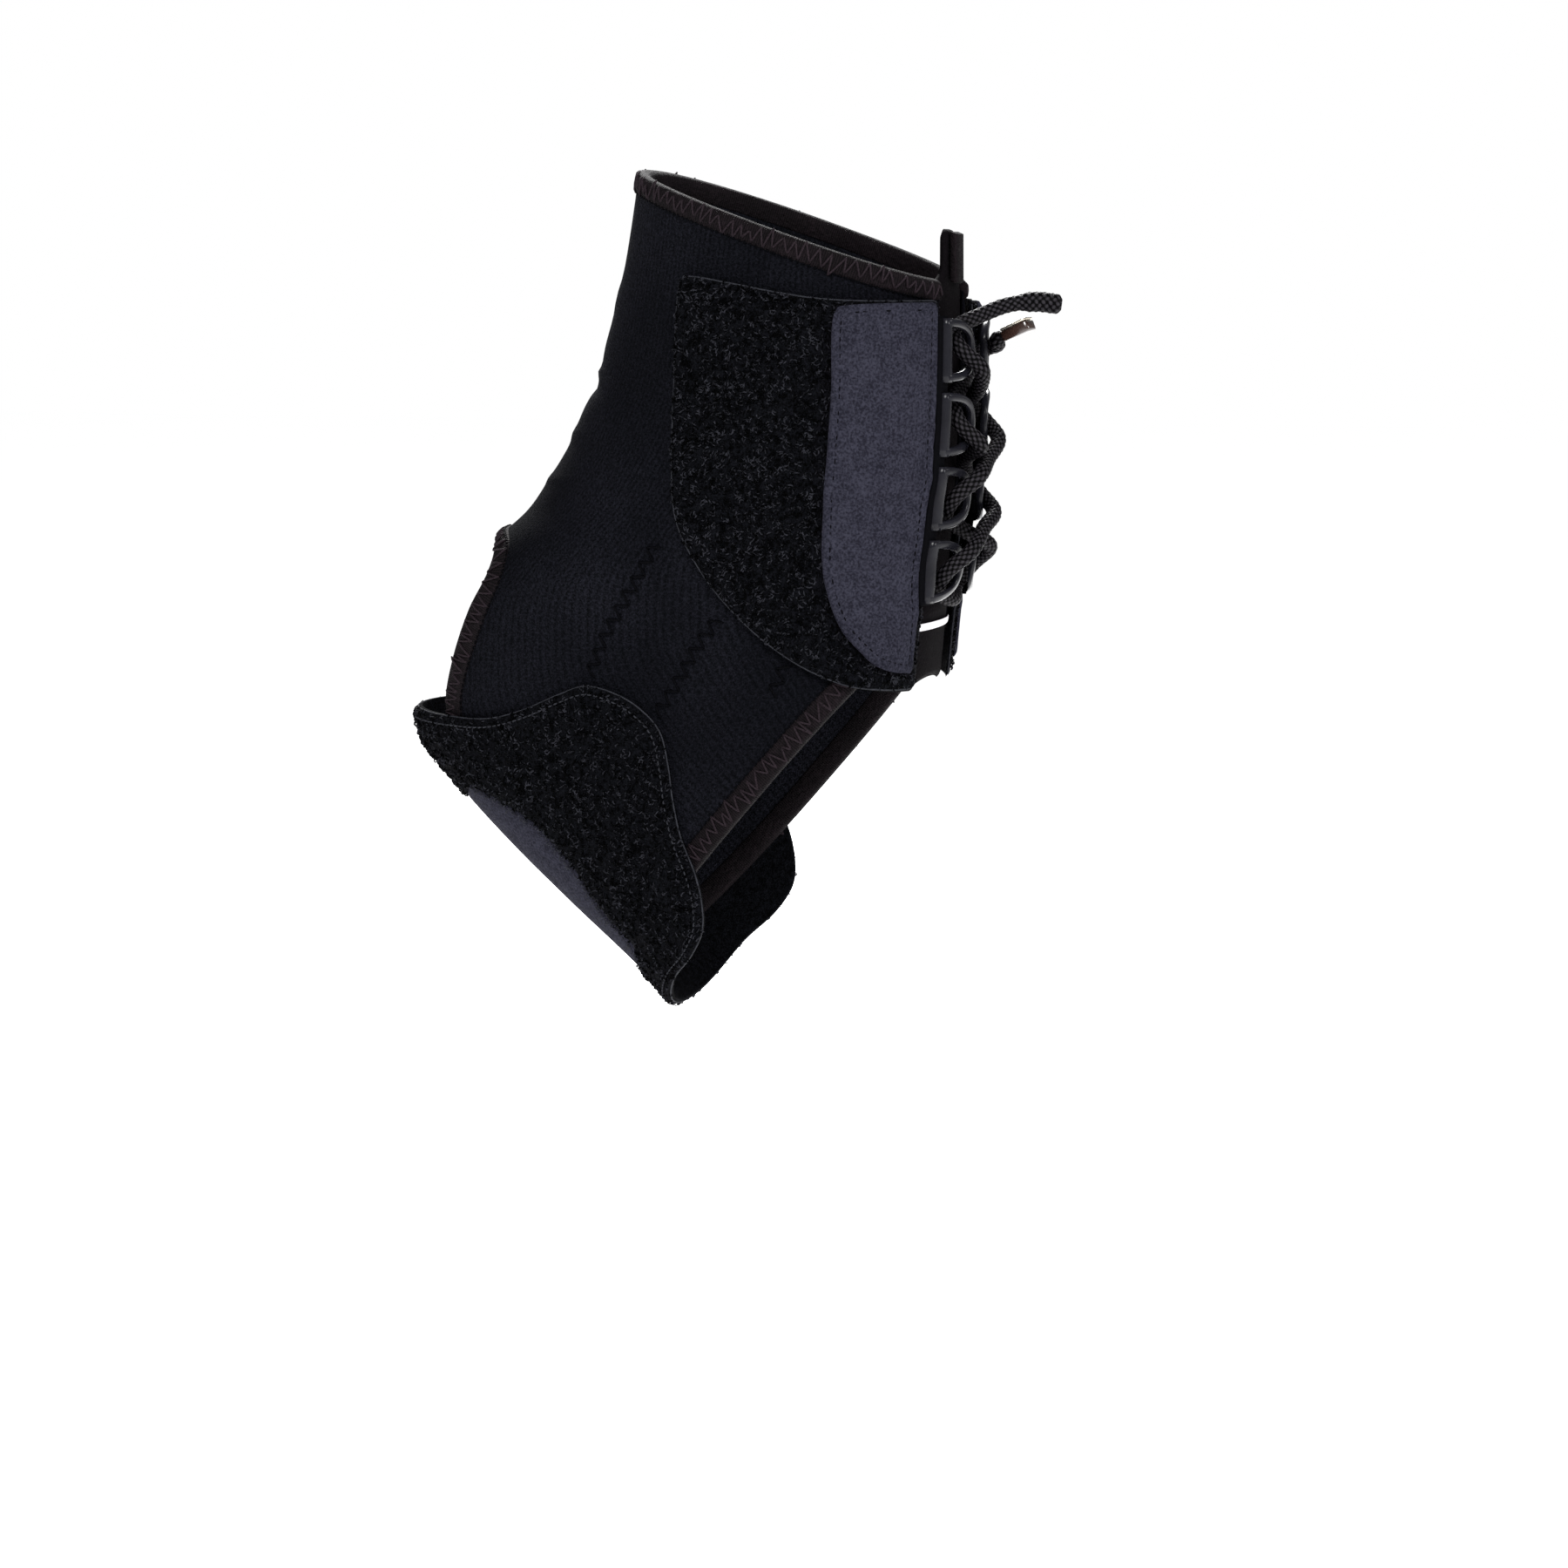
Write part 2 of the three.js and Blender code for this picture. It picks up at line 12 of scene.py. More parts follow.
import bpy
import numpy as np
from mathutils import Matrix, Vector


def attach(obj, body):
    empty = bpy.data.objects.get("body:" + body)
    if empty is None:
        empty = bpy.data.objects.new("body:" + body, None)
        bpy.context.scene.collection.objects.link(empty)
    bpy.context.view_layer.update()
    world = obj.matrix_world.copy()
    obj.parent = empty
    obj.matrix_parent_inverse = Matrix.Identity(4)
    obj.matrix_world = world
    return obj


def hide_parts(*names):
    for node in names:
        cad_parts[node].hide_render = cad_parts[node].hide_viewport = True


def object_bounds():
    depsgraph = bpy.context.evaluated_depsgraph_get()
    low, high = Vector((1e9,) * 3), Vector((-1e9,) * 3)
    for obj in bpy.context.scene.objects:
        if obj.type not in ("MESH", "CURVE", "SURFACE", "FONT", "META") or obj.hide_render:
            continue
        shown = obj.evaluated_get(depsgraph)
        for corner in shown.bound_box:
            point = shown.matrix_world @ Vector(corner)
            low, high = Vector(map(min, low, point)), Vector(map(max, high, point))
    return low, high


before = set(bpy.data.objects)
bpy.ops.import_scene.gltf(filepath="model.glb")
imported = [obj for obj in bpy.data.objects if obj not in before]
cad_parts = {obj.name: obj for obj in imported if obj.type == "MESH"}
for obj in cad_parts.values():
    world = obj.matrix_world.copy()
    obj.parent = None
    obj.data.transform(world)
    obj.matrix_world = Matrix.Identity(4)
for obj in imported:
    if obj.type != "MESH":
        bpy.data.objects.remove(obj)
CAD_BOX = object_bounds()
MM = 0.001
print("frame:", len(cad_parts), "solids,", [round(side, 4) for side in CAD_BOX[1] - CAD_BOX[0]], "m")

# %% [markdown]
# The camera
#
# A long lens a little above the brace and a little in front of it gives the photograph's view. Its distance
# follows from the width that the picture has to span, so the lens can change without changing the framing.

# %% Place the camera
LENS = 85
SENSOR = 36
PICTURE_SPAN = 0.385
AZIMUTH = math.radians(18)
ELEVATION = math.radians(8)
RIGHT = Vector((math.cos(AZIMUTH), math.sin(AZIMUTH), 0))
LEVEL_REACH = math.cos(ELEVATION)
AHEAD = Vector((-math.sin(AZIMUTH) * LEVEL_REACH, math.cos(AZIMUTH) * LEVEL_REACH, -math.sin(ELEVATION)))
UP = RIGHT.cross(AHEAD)
LOOK_AT = 0.0096 * RIGHT - 0.0556 * UP

camera = bpy.data.objects.new("camera", bpy.data.cameras.new("camera"))
camera.data.lens = LENS
camera.data.sensor_width = SENSOR
camera.location = LOOK_AT - PICTURE_SPAN * LENS / SENSOR * AHEAD
camera.rotation_euler = AHEAD.to_track_quat("-Z", "Y").to_euler()
bpy.context.scene.collection.objects.link(camera)
bpy.context.scene.camera = camera
print("camera stands", round((camera.location - LOOK_AT).length, 3), "m away")

# %% [markdown]
# Meshes from arrays
#
# Thousands of loops and stitches are quick to make only as arrays of points and faces that become one mesh.
# These helpers turn arrays in millimetres into a piece, ride it on the brace's one body, and hide the plain
# solids that it stands for.


# %% Mesh helpers
def piece(name, points, faces, finish, slot, stands_for=(), uv=None, marks=None):
    mesh = bpy.data.meshes.new(name)
    mesh.from_pydata((np.asarray(points) * MM).tolist(), [], [list(map(int, face)) for face in faces])
    mesh.polygons.foreach_set("use_smooth", [True] * len(mesh.polygons))
    if uv is not None:
        corners = np.zeros(len(mesh.loops), int)
        mesh.loops.foreach_get("vertex_index", corners)
        mesh.uv_layers.new(name="cloth").data.foreach_set("uv", (np.asarray(uv) * MM)[corners].ravel())
    for mark, values in (marks or {}).items():
        layer = mesh.attributes.new(mark, "FLOAT", "POINT")
        layer.data.foreach_set("value", np.asarray(values, float).ravel())
    mesh.materials.append(finish)
    thing = bpy.data.objects.new(name, mesh)
    bpy.context.scene.collection.objects.link(thing)
    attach(thing, "root")
    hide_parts(*stands_for)
    triangles = sum(len(polygon.vertices) - 2 for polygon in mesh.polygons)
    print(f"{name}: {triangles} triangles")
    return thing


def joined(parts):
    """Several (points, faces) pairs as one."""
    points, faces, start = [], [], 0
    for part_points, part_faces in parts:
        points.append(np.asarray(part_points))
        faces += [[int(index) + start for index in face] for face in part_faces]
        start += len(part_points)
    return np.concatenate(points), faces


def unit(vectors):
    return vectors / np.maximum(np.linalg.norm(vectors, axis=-1, keepdims=True), 1e-9)


# %% [markdown]
# Smooth lines
#
# Every edge, seam and lace is a line through a few given points. The centripetal Catmull-Rom spline
# passes through all of them and makes no loops where they lie close together, which a plain one does.


# %% Line helpers
def smooth_line(points, steps=12):
    points = np.asarray(points, float)
    points = np.vstack([2 * points[0] - points[1], points, 2 * points[-1] - points[-2]])
    share = np.linspace(0, 1, steps, endpoint=False)[:, None]
    line = []
    for before, start, end, after in zip(points, points[1:], points[2:], points[3:]):
        pairs = ((before, start), (start, end), (end, after))
        first, middle, last = [math.sqrt(math.dist(a, b)) for a, b in pairs]
        leave = (start - before) / first - (end - before) / (first + middle) + (end - start) / middle
        arrive = (end - start) / middle - (after - start) / (middle + last) + (after - end) / last
        leave, arrive = leave * middle, arrive * middle
        bend = -3 * start + 3 * end - 2 * leave - arrive
        twist = 2 * start - 2 * end + leave + arrive
        line.append(start + leave * share + bend * share**2 + twist * share**3)
    return np.vstack([*line, points[-2:-1]])


def lengths(line):
    return np.concatenate([[0], np.cumsum(np.linalg.norm(np.diff(line, axis=0), axis=-1))])


def resample(line, step, *others):
    """The line with even steps, and other values along it at the same places."""
    run = lengths(line)
    at = np.linspace(0, run[-1], max(2, round(run[-1] / step) + 1))
    evened = [
        np.stack([np.interp(at, run, column) for column in np.atleast_2d(np.asarray(values).T)], -1)
        for values in (line, *others)]
    return evened[0] if not others else [evened[0], *[value[:, 0] for value in evened[1:]]]


def tangents(line, closed=False):
    if closed:
        return unit(np.roll(line, -1, 0) - np.roll(line, 1, 0))
    return unit(np.gradient(line, axis=0))


def tube(line, radius, sides, relief=None):
    """A tube along a line, its sections turned as little as possible from one to the next."""
    ahead = tangents(line)
    across = np.zeros_like(line)
    across[0] = unit(np.cross(ahead[0], [0.3, 0.1, 1]))
    for index in range(1, len(line)):
        across[index] = unit(across[index - 1] - ahead[index] * (across[index - 1] @ ahead[index]))
    upright = np.cross(ahead, across)
    turn = np.arange(sides) / sides * 2 * math.pi
    radius = np.broadcast_to(np.asarray(radius, float).reshape(-1, 1), (len(line), sides)).copy()
    if relief is not None:
        radius += relief * np.ones((len(line), sides))
    spokes = across[:, None] * np.cos(turn)[None, :, None] + upright[:, None] * np.sin(turn)[None, :, None]
    points = (line[:, None] + spokes * radius[..., None]).reshape(-1, 3)
    ring = np.arange(len(line) - 1)[:, None] * sides
    step = np.arange(sides)[None]
    after = (step + 1) % sides
    faces = np.stack([ring + step, ring + after, ring + sides + after, ring + sides + step], -1)
    caps = [list(range(sides))[::-1], list(range(len(points) - sides, len(points)))]
    return points, faces.reshape(-1, 4).tolist() + caps


# %% [markdown]
# Finishes as expressions
#
# A finish is a node tree, and shader maths reads best as sums and products. `Value` wraps a node's output
# and overloads the operators, so `1 - mask * 0.5` adds its Math nodes by itself. Every other node comes from
# `Finish.node`, which sets the node's settings first and then its sockets.


# %% A small language for node trees
class Value:
    def __init__(self, finish, link):
        self.finish, self.link = finish, link

    def worked(self, operation, *values):
        return self.finish.node("ShaderNodeMath", {"operation": operation}, dict(enumerate(values)))

    def __add__(self, other):
        return self.worked("ADD", self, other)

    def __sub__(self, other):
        return self.worked("SUBTRACT", self, other)

    def __rsub__(self, other):
        return self.worked("SUBTRACT", other, self)

    def __mul__(self, other):
        return self.worked("MULTIPLY", self, other)

    __radd__, __rmul__ = __add__, __mul__

    def __pow__(self, other):
        return self.worked("POWER", self, other)

    def sine(self):
        return self.worked("SINE", self)

    def clamped(self):
        return self.finish.node("ShaderNodeClamp", {}, {0: self})


class Finish:
    def __init__(self, name, **fixed):
        self.material = bpy.data.materials.new(name)
        self.material.use_nodes = True
        self.tree = self.material.node_tree
        self.shader = self.tree.nodes["Principled BSDF"]
        for socket, value in fixed.items():
            self.shader.inputs[socket.replace("_", " ")].default_value = value

    def node(self, kind, settings, sockets, output=0):
        node = self.tree.nodes.new(kind)
        for name, value in settings.items():
            if name == "stops":
                for stop, (place, colour) in zip(self.ramp_stops(node, len(value)), value):
                    stop.position, stop.color = place, (*colour, 1)
            else:
                setattr(node, name, value)
        for name, value in sockets.items():
            self.plug(node.inputs[name], value)
        return Value(self, node.outputs[output])

    @staticmethod
    def ramp_stops(node, count):
        while len(node.color_ramp.elements) < count:
            node.color_ramp.elements.new(1)
        return node.color_ramp.elements

    def plug(self, socket, value):
        if isinstance(value, Value):
            self.tree.links.new(value.link, socket)
        else:
            socket.default_value = value

    def object_place(self):
        return self.node("ShaderNodeTexCoord", {}, {}, "Object")

    def cloth_place(self):
        return self.node("ShaderNodeUVMap", {"uv_map": "cloth"}, {})

    def mark(self, name):
        """A number that the mesh carries at each point."""
        return self.node("ShaderNodeAttribute", {"attribute_name": name}, {}, "Fac")

    def parts(self, vector):
        split = self.node("ShaderNodeSeparateXYZ", {}, {0: vector})
        return [Value(self, output) for output in split.link.node.outputs]

    def noise(self, scale, detail=3, rough=0.55):
        sockets = {"Vector": self.object_place(), "Scale": scale, "Detail": detail, "Roughness": rough}
        return self.node("ShaderNodeTexNoise", {}, sockets)

    def mixed(self, share, low, high):
        low, high = [(*c, 1) if isinstance(c, tuple) else c for c in (low, high)]
        return self.node("ShaderNodeMix", {"data_type": "RGBA"}, {0: share, 6: low, 7: high}, 2)

    def steepened(self, value, low, high):
        """0 up to low, 1 from high on, and a straight ramp between them."""
        return self.node("ShaderNodeMapRange", {}, {0: value, 1: low, 2: high})

    def bumped(self, height, depth, strength=1.0):
        """depth is the real height in metres that the value 1 stands for."""
        sockets = {"Strength": strength, "Distance": depth, "Height": height}
        self.set("Normal", self.node("ShaderNodeBump", {}, sockets))

    def set(self, socket, value):
        self.plug(self.shader.inputs[socket], value)


# %% [markdown]
# The lace
#
# It is one round braid of about 28 cm. It comes from its free end, crosses from loop to loop down the front,
# turns round the lowest pair and climbs back to the tag. The points repeat the route of the plain solid.
# A braid could be sixteen thin tubes that wind over and under, but in a bend they cut through each other.
# Here one tube has the diamond relief of the braid pressed into it, so it stays one closed skin.

# %% The route and the braid
LACE_POINTS = [
    [78.5, 3, 61.8], [72.5, 1.6, 62.5], [66, -0.6, 61.7], [60.5, -3, 59.4], [54.8, -8.2, 55.8],
    [57.6, -11.2, 51.6], [61.8, -8.6, 47.2], [60.7, -3.5, 43.6], [58.6, 0.5, 41.3], [54.8, 8.6, 38.2],
    [57.6, 11.2, 34], [61.7, 8.6, 29.8], [61.4, 0, 25], [61.4, -8.9, 21],
    [56.5, -11.2, 16.6], [53.3, -9, 11.8], [54.2, -4, 9.6], [56.6, 0, 7.4], [59.7, 9, 3.4],
    [55, 11.4, -0.8], [51.4, 8.7, -5.6], [53, 0, -8.6], [51.4, -8.7, -5.6],
    [55, -11.4, -0.8], [59.7, -9, 3.4], [60.6, 0, 8.6], [60.8, 8.4, 12.2],
    [56.5, 11.2, 16.4], [54, 8.4, 21], [54.6, 4, 23.4], [56, 0, 25.6], [58.4, -3.4, 26.8], [61.8, -8.2, 29],
    [57.6, -11.2, 33.8], [55, -8.2, 38.4], [54.6, 0, 42.2], [54.9, 8.8, 46.9],
    [57.6, 11.2, 51], [61.2, 9.1, 52.2], [61.7, 6.8, 53.4], [63.4, 6.2, 54.2],
]
LACE_DIAMETER = 3.6
TIP_DIAMETER = 4.7
TIP_LONG = 9
STRANDS = 8
BRAID_PITCH = 14
BRAID_DEEP = 0.5
BRAID_MEAN = 0.75  # the height of the relief that lies at the lace's own radius
END_ROUND = 1.6  # how far from each end the lace narrows
LACE_SIDES = 48
LACE_STEP = 0.26

braid = Finish("lace_braid", Roughness=0.45, Specular_IOR_Level=0.02)
fleck, ridge_height = braid.noise(2600, detail=2), braid.mark("ridge")
# Painted highlight: the tops of the strand ridges are coloured lighter than the rest of the braid, flecked at
# random.
lit = (braid.steepened(ridge_height, 0.72, 1) * (0.3 + fleck)).clamped()
braid.set("Base Color", braid.mixed(lit, (0.0003, 0.0003, 0.0004), (0.026, 0.024, 0.028)))
braid.set("Roughness", 0.62 - 0.25 * ridge_height)
braid.bumped(fleck, 0.00008)


def braid_relief(run, turn):
    """Two sets of slanted strands, each on top in every second diamond."""
    left = turn / (2 * math.pi) * STRANDS + run / BRAID_PITCH * STRANDS
    right = turn / (2 * math.pi) * STRANDS - run / BRAID_PITCH * STRANDS
    over = (np.floor(left) + np.floor(right)) % 2 == 0
    across = np.where(over, left % 1, right % 1)
    ahead = np.where(over, right % 1, left % 1)
    ridge = np.sqrt(np.maximum(0, 1 - (2 * across - 1) ** 2))
    arch = np.sin(math.pi * ahead) ** 0.5
    return 0.65 * ridge + 0.35 * arch


lace_line = resample(smooth_line(LACE_POINTS), LACE_STEP)
lace_run = lengths(lace_line)
swell = np.clip((TIP_LONG - lace_run) / 3 + 0.5, 0, 1)
lace_radius = (LACE_DIAMETER + (TIP_DIAMETER - LACE_DIAMETER) * swell * swell * (3 - 2 * swell)) / 2
for from_end in (lace_run, lace_run[-1] - lace_run):
    lace_radius = lace_radius * np.sqrt(1 - np.clip(1 - from_end / END_ROUND, 0, 1) ** 2 * 0.75)
lace_ridges = braid_relief(lace_run[:, None], np.arange(LACE_SIDES)[None] / LACE_SIDES * 2 * math.pi)
lace_skin = tube(lace_line, lace_radius, LACE_SIDES, BRAID_DEEP * (lace_ridges - BRAID_MEAN))
lace = piece("braided_lace", *lace_skin, braid.material, "lace_braid", ["lace"], marks={"ridge": lace_ridges})
print("lace:", round(lace_run[-1], 1), "mm")

# %% [markdown]
# The form under the cloth
#
# Everything soft follows one form, like the last inside a shoe. It is a fan of ovals, one for each row of
# the table, and each oval's plane holds the Y axis. A place on it is a row number and an angle from the
# front, and a layer is a distance off its surface. The table repeats the rows of the plain solids, as
# shares of REACH and RISE.

# %% The form
REACH = 100
RISE = 100
HALF_WIDTH = 33.5
SECTIONS = np.array([
    # back x and z, front x and z, half width, fullness of the back half and of the front half
    [-0.207, 1.1, 0.505, 0.8, 0.94, 2.1, 2.5],
    [-0.218, 0.933, 0.505, 0.68, 0.93, 2.1, 2.5],
    [-0.29, 0.544, 0.505, 0.455, 0.9, 2, 2.5],
    [-0.357, 0.372, 0.505, 0.36, 0.9, 1.95, 2.5],
    [-0.441, 0.228, 0.503, 0.275, 0.94, 1.9, 2.4],
    [-0.53, 0.115, 0.5, 0.21, 0.985, 1.95, 2.4],
    [-0.678, -0.017, 0.498, 0.155, 1, 2, 2.3],
    [-0.78, -0.145, 0.496, 0.1, 1, 2.1, 2.3],
    [-0.8, -0.29, 0.493, 0.05, 0.985, 2.15, 2.3],
    [-0.79, -0.44, 0.49, 0.005, 0.955, 2.2, 2.3],
    [-0.695, -0.559, 0.488, -0.04, 0.94, 2.2, 2.3],
    [-0.561, -0.69, 0.486, -0.08, 0.94, 2.25, 2.3],
    [-0.4, -0.829, 0.484, -0.12, 0.955, 2.3, 2.3],
    [-0.224, -0.976, 0.479, -0.155, 0.985, 2.3, 2.3],
    [-0.11, -1.085, 0.466, -0.28, 1.015, 2.3, 2.3],
    [-0.01, -1.19, 0.454, -0.42, 1.045, 2.3, 2.3],
])
RIM_ROW = 1
OPENING_ROW = 13
LAST_ROW = len(SECTIONS) - 1
NEAR, FAR = -1, 1

GAP = 0.3
LAYER_GAP = 0.6
SLEEVE_IN, SLEEVE_OUT = 0.3, 3.2
BINDING_OUT = SLEEVE_OUT + 0.3
TONGUE_IN, TONGUE_OUT = 0.3, 1.9
PAD_IN = BINDING_OUT + LAYER_GAP
PAD_OUT = PAD_IN + 2.2
PANEL_IN = PAD_OUT + LAYER_GAP
PANEL_OUT = PANEL_IN + 1.5


def signed_power(value, power):
    return np.sign(value) * np.abs(value) ** power


def section_at(along):
    """The table's columns between its rows, blended by a Catmull-Rom spline."""
    first = np.clip(np.floor(along), 0, LAST_ROW - 1).astype(int)
    share = (along - first)[..., None]
    before, start, end, after = [SECTIONS[np.clip(first + step, 0, LAST_ROW)] for step in (-1, 0, 1, 2)]
    straight = 2 * start + (end - before) * share
    bend = (2 * before - 5 * start + 4 * end - after) * share**2
    turn = (3 * start - before - 3 * end + after) * share**3
    return (straight + bend + turn) / 2


def oval_at(along):
    """Middle, direction and half length of the sections, in X and Z, with their half width and fullness."""
    columns = section_at(along)
    back, front = columns[..., 0:2] * [REACH, RISE], columns[..., 2:4] * [REACH, RISE]
    half = np.linalg.norm(front - back, axis=-1) / 2
    direction = (front - back) / (2 * half[..., None])
    return (back + front) / 2, direction, half, columns[..., 4] * HALF_WIDTH, columns[..., 5:7]


def on_form(along, angle, off=0.0):
    """Points of the form, in millimetres, that far off its skin. An angle from 0 to pi is on the far side."""
    along, angle, off = np.broadcast_arrays(*[np.asarray(v, float) for v in (along, angle, off)])
    middle, direction, half, wide, fullness = oval_at(along)
    cosine, sine = np.cos(angle), np.sin(angle)
    full = np.where(cosine > 0, fullness[..., 1], fullness[..., 0])
    swell = (np.abs(cosine) ** full + np.abs(sine) ** full) ** (-1 / full)
    normal = unit(np.stack([signed_power(cosine, full - 1) / half, signed_power(sine, full - 1) / wide], -1))
    place = middle + direction * (half * swell * cosine + off * normal[..., 0])[..., None]
    return np.stack([place[..., 0], wide * swell * sine + off * normal[..., 1], place[..., 1]], -1)


def solved(measure, target, low, high):
    """Bisection for arrays: where does a rising or falling function reach its target?"""
    low, high = np.full(target.shape, float(low)), np.full(target.shape, float(high))
    rising = measure(high) > measure(low)
    for _ in range(32):
        middle = (low + high) / 2
        short = (measure(middle) < target) == rising
        low, high = np.where(short, middle, low), np.where(short, high, middle)
    return (low + high) / 2


def seen_from_side(places, off, side):
    """The row and angle of the form, that far off its skin, at X and Z places of a side view."""
    def above(along):
        middle, direction, *_ = oval_at(along)
        away = places - middle
        return direction[:, 0] * away[:, 1] - direction[:, 1] * away[:, 0]

    along = solved(above, np.zeros(len(places)), 0, LAST_ROW)
    middle, direction, half, wide, fullness = oval_at(along)
    forward = ((places - middle) * direction).sum(-1)

    def reach(angle):
        return ((on_form(along, angle, off)[:, [0, 2]] - middle) * direction).sum(-1)

    angle = solved(reach, forward, 0, math.pi)
    return along, angle if side == FAR else 2 * math.pi - angle


def seen_from_front(places, off):
    """The row and angle of the form, that far off its skin, at Y and Z places of a front view."""
    def angle_at(along):
        return solved(lambda angle: on_form(along, angle, off)[:, 1], places[:, 0], -1.5, 1.5)

    along = solved(lambda row: on_form(row, angle_at(row), off)[:, 2], places[:, 1], 0, LAST_ROW)
    return along, angle_at(along)


def settled(targets, along, angle):
    """The places of the skin that lie nearest to target points, searched from the places given."""
    along, angle, step = along.copy(), angle.copy(), 1e-3
    for _ in range(7):
        here = on_form(along, angle)
        down = (on_form(along + step, angle) - here) / step
        round_ = (on_form(along, angle + step) - here) / step
        gap = targets - here
        dd, rr, dr = (down * down).sum(-1), (round_ * round_).sum(-1), (down * round_).sum(-1)
        gd, gr = (down * gap).sum(-1), (round_ * gap).sum(-1)
        scale = dd * rr - dr * dr
        along = np.clip(along + (gd * rr - gr * dr) / scale, 0, LAST_ROW)
        angle = angle + (gr * dd - gd * dr) / scale
    return along, angle


print("the form is", round(float(2 * on_form(8, math.pi / 2)[1]), 1), "mm wide over the heel")

# %% [markdown]
# Cloth cut from the form
#
# A sheet of cloth starts as a fine grid over the form. The grid is cut where it crosses an outline, the way
# marching squares cut a height map, so the edge comes out clean at any resolution. A copy of the sheet on a
# second layer and a strip along the edge close it into a wall of real thickness.


# %% Cutting cloth
def depth_inside(outline, places, chunk=3000):
    """How far X and Z places lie inside a closed outline, negative outside it."""
    edge = np.roll(outline, -1, 0) - outline
    depths = []
    for start in range(0, len(places), chunk):
        away = places[start:start + chunk, None] - outline[None]
        share = np.clip((away * edge).sum(-1) / np.maximum((edge**2).sum(-1), 1e-9), 0, 1)
        distance = np.linalg.norm(away - share[..., None] * edge, axis=-1).min(1)
        past = (away[..., 1] < 0) != (away[..., 1] < edge[None, :, 1])
        left = away[..., 0] * edge[None, :, 1] - away[..., 1] * edge[None, :, 0]
        crossed = past & ((left < 0) == (edge[None, :, 1] > 0))
        depths.append(np.where(crossed.sum(1) % 2 == 1, distance, -distance))
    return np.concatenate(depths)


def cut_grid(rows, angles, keep):
    """The part of a grid of places where keep is positive: its rows, angles, depths and faces."""
    along, angle = [grid.ravel() for grid in np.meshgrid(rows, angles, indexing="ij")]
    depth = keep(along, angle)
    wide = len(angles)
    corner = np.arange(len(rows) * wide).reshape(len(rows), wide)
    cells = np.stack([corner[:-1, :-1], corner[:-1, 1:], corner[1:, 1:], corner[1:, :-1]], -1).reshape(-1, 4)
    inside = depth > 0
    count = inside[cells].sum(1)
    cuts, faces = {}, cells[count == 4].tolist()
    for cell in cells[(count > 0) & (count < 4)].tolist():
        face = []
        for one, other in zip(cell, cell[1:] + cell[:1]):
            if inside[one]:
                face.append(one)
            if inside[one] != inside[other]:
                face.append(cuts.setdefault((min(one, other), max(one, other)), len(along) + len(cuts)))
        faces.append(face)
    ends = np.array(list(cuts)).reshape(-1, 2)
    share = (depth[ends[:, 0]] / (depth[ends[:, 0]] - depth[ends[:, 1]]))
    along, angle = [
        np.concatenate([column, column[ends[:, 0]] * (1 - share) + column[ends[:, 1]] * share])
        for column in (along, angle)]
    depth = np.concatenate([depth, np.zeros(len(ends))])
    used = np.unique(np.concatenate([np.array(face) for face in faces]))
    renamed = np.zeros(len(along), int)
    renamed[used] = np.arange(len(used))
    return along[used], angle[used], depth[used], [renamed[face].tolist() for face in faces]


def walled(top, bottom, faces):
    """Closes two copies of a sheet into one skin. The sheet's faces look out of the top."""
    count = len(top)
    edges = {(one, other) for face in faces for one, other in zip(face, face[1:] + face[:1])}
    rims = [(one, other) for one, other in edges if (other, one) not in edges]
    sides = [[other, one, one + count, other + count] for one, other in rims]
    under = [[index + count for index in face[::-1]] for face in faces]
    return np.concatenate([top, bottom]), [*faces, *under, *sides]


def flat_places(along, angle):
    """How far round and how far along the cloth a place is, in millimetres, for its weave."""
    side = on_form(np.linspace(0, LAST_ROW, 200), math.pi / 2)
    run = np.interp(along, np.linspace(0, LAST_ROW, 200), lengths(side))
    return np.stack([angle * 38, run], -1)


def rounded_edge(depth, radius):
    """1 away from the edge, and a quarter circle down to 0 at it."""
    short = 1 - np.clip(depth / radius, 0, 1)
    return np.sqrt(np.maximum(0, 1 - short**2))


def face_turn(points, faces):
    """Turns faces outwards, where a sheet was laid the other way round."""
    first = np.array([face[:3] for face in faces])
    a, b, c = [points[first[:, index]] for index in range(3)]
    volume = np.einsum("ij,ij->i", a, np.cross(b, c)).sum()
    return faces if volume > 0 else [face[::-1] for face in faces]


# %% [markdown]
# Outlines
#
# Each outline is drawn in the side view as shares of the form's lengths, and runs past the silhouette where
# the cloth goes round to the front or under the sole. The plain solids use the same points with straight
# stretches between them. Cloth has none, so a spline goes through them here.

# %% Side outlines
WRAP_OUTLINE = [
    (0.9, 0.625), (0.34, 0.63), (0.2, 0.648), (0.08, 0.67), (-0.04, 0.684), (-0.053, 0.672), (-0.068, 0.45),
    (-0.063, 0.25), (-0.04, 0.11), (0.01, 0.01), (0.07, -0.073), (0.15, -0.155), (0.25, -0.223),
    (0.35, -0.263), (0.44, -0.277), (0.5, -0.28), (0.9, -0.275),
]
PANEL_OUTLINE = [
    (0.9, 0.618), (0.37, 0.618), (0.345, 0.61), (0.331, 0.42), (0.318, 0.2), (0.307, 0.033), (0.315, -0.05),
    (0.345, -0.132), (0.387, -0.182), (0.437, -0.223), (0.49, -0.24), (0.9, -0.24),
]
STRAP_OUTLINE = [
    (-1.1, -0.38), (-0.68, -0.39), (-0.56, -0.385), (-0.455, -0.356), (-0.355, -0.313), (-0.284, -0.289),
    (-0.216, -0.301), (-0.149, -0.334), (-0.094, -0.39), (-0.072, -0.473), (-0.061, -0.557), (-0.04, -0.65),
    (-0.006, -0.733), (0.01, -0.806), (0.008, -0.871), (-0.031, -0.941), (-0.1, -1.015), (-0.165, -1.13),
    (-0.3, -1.4), (-1.3, -0.6),
]
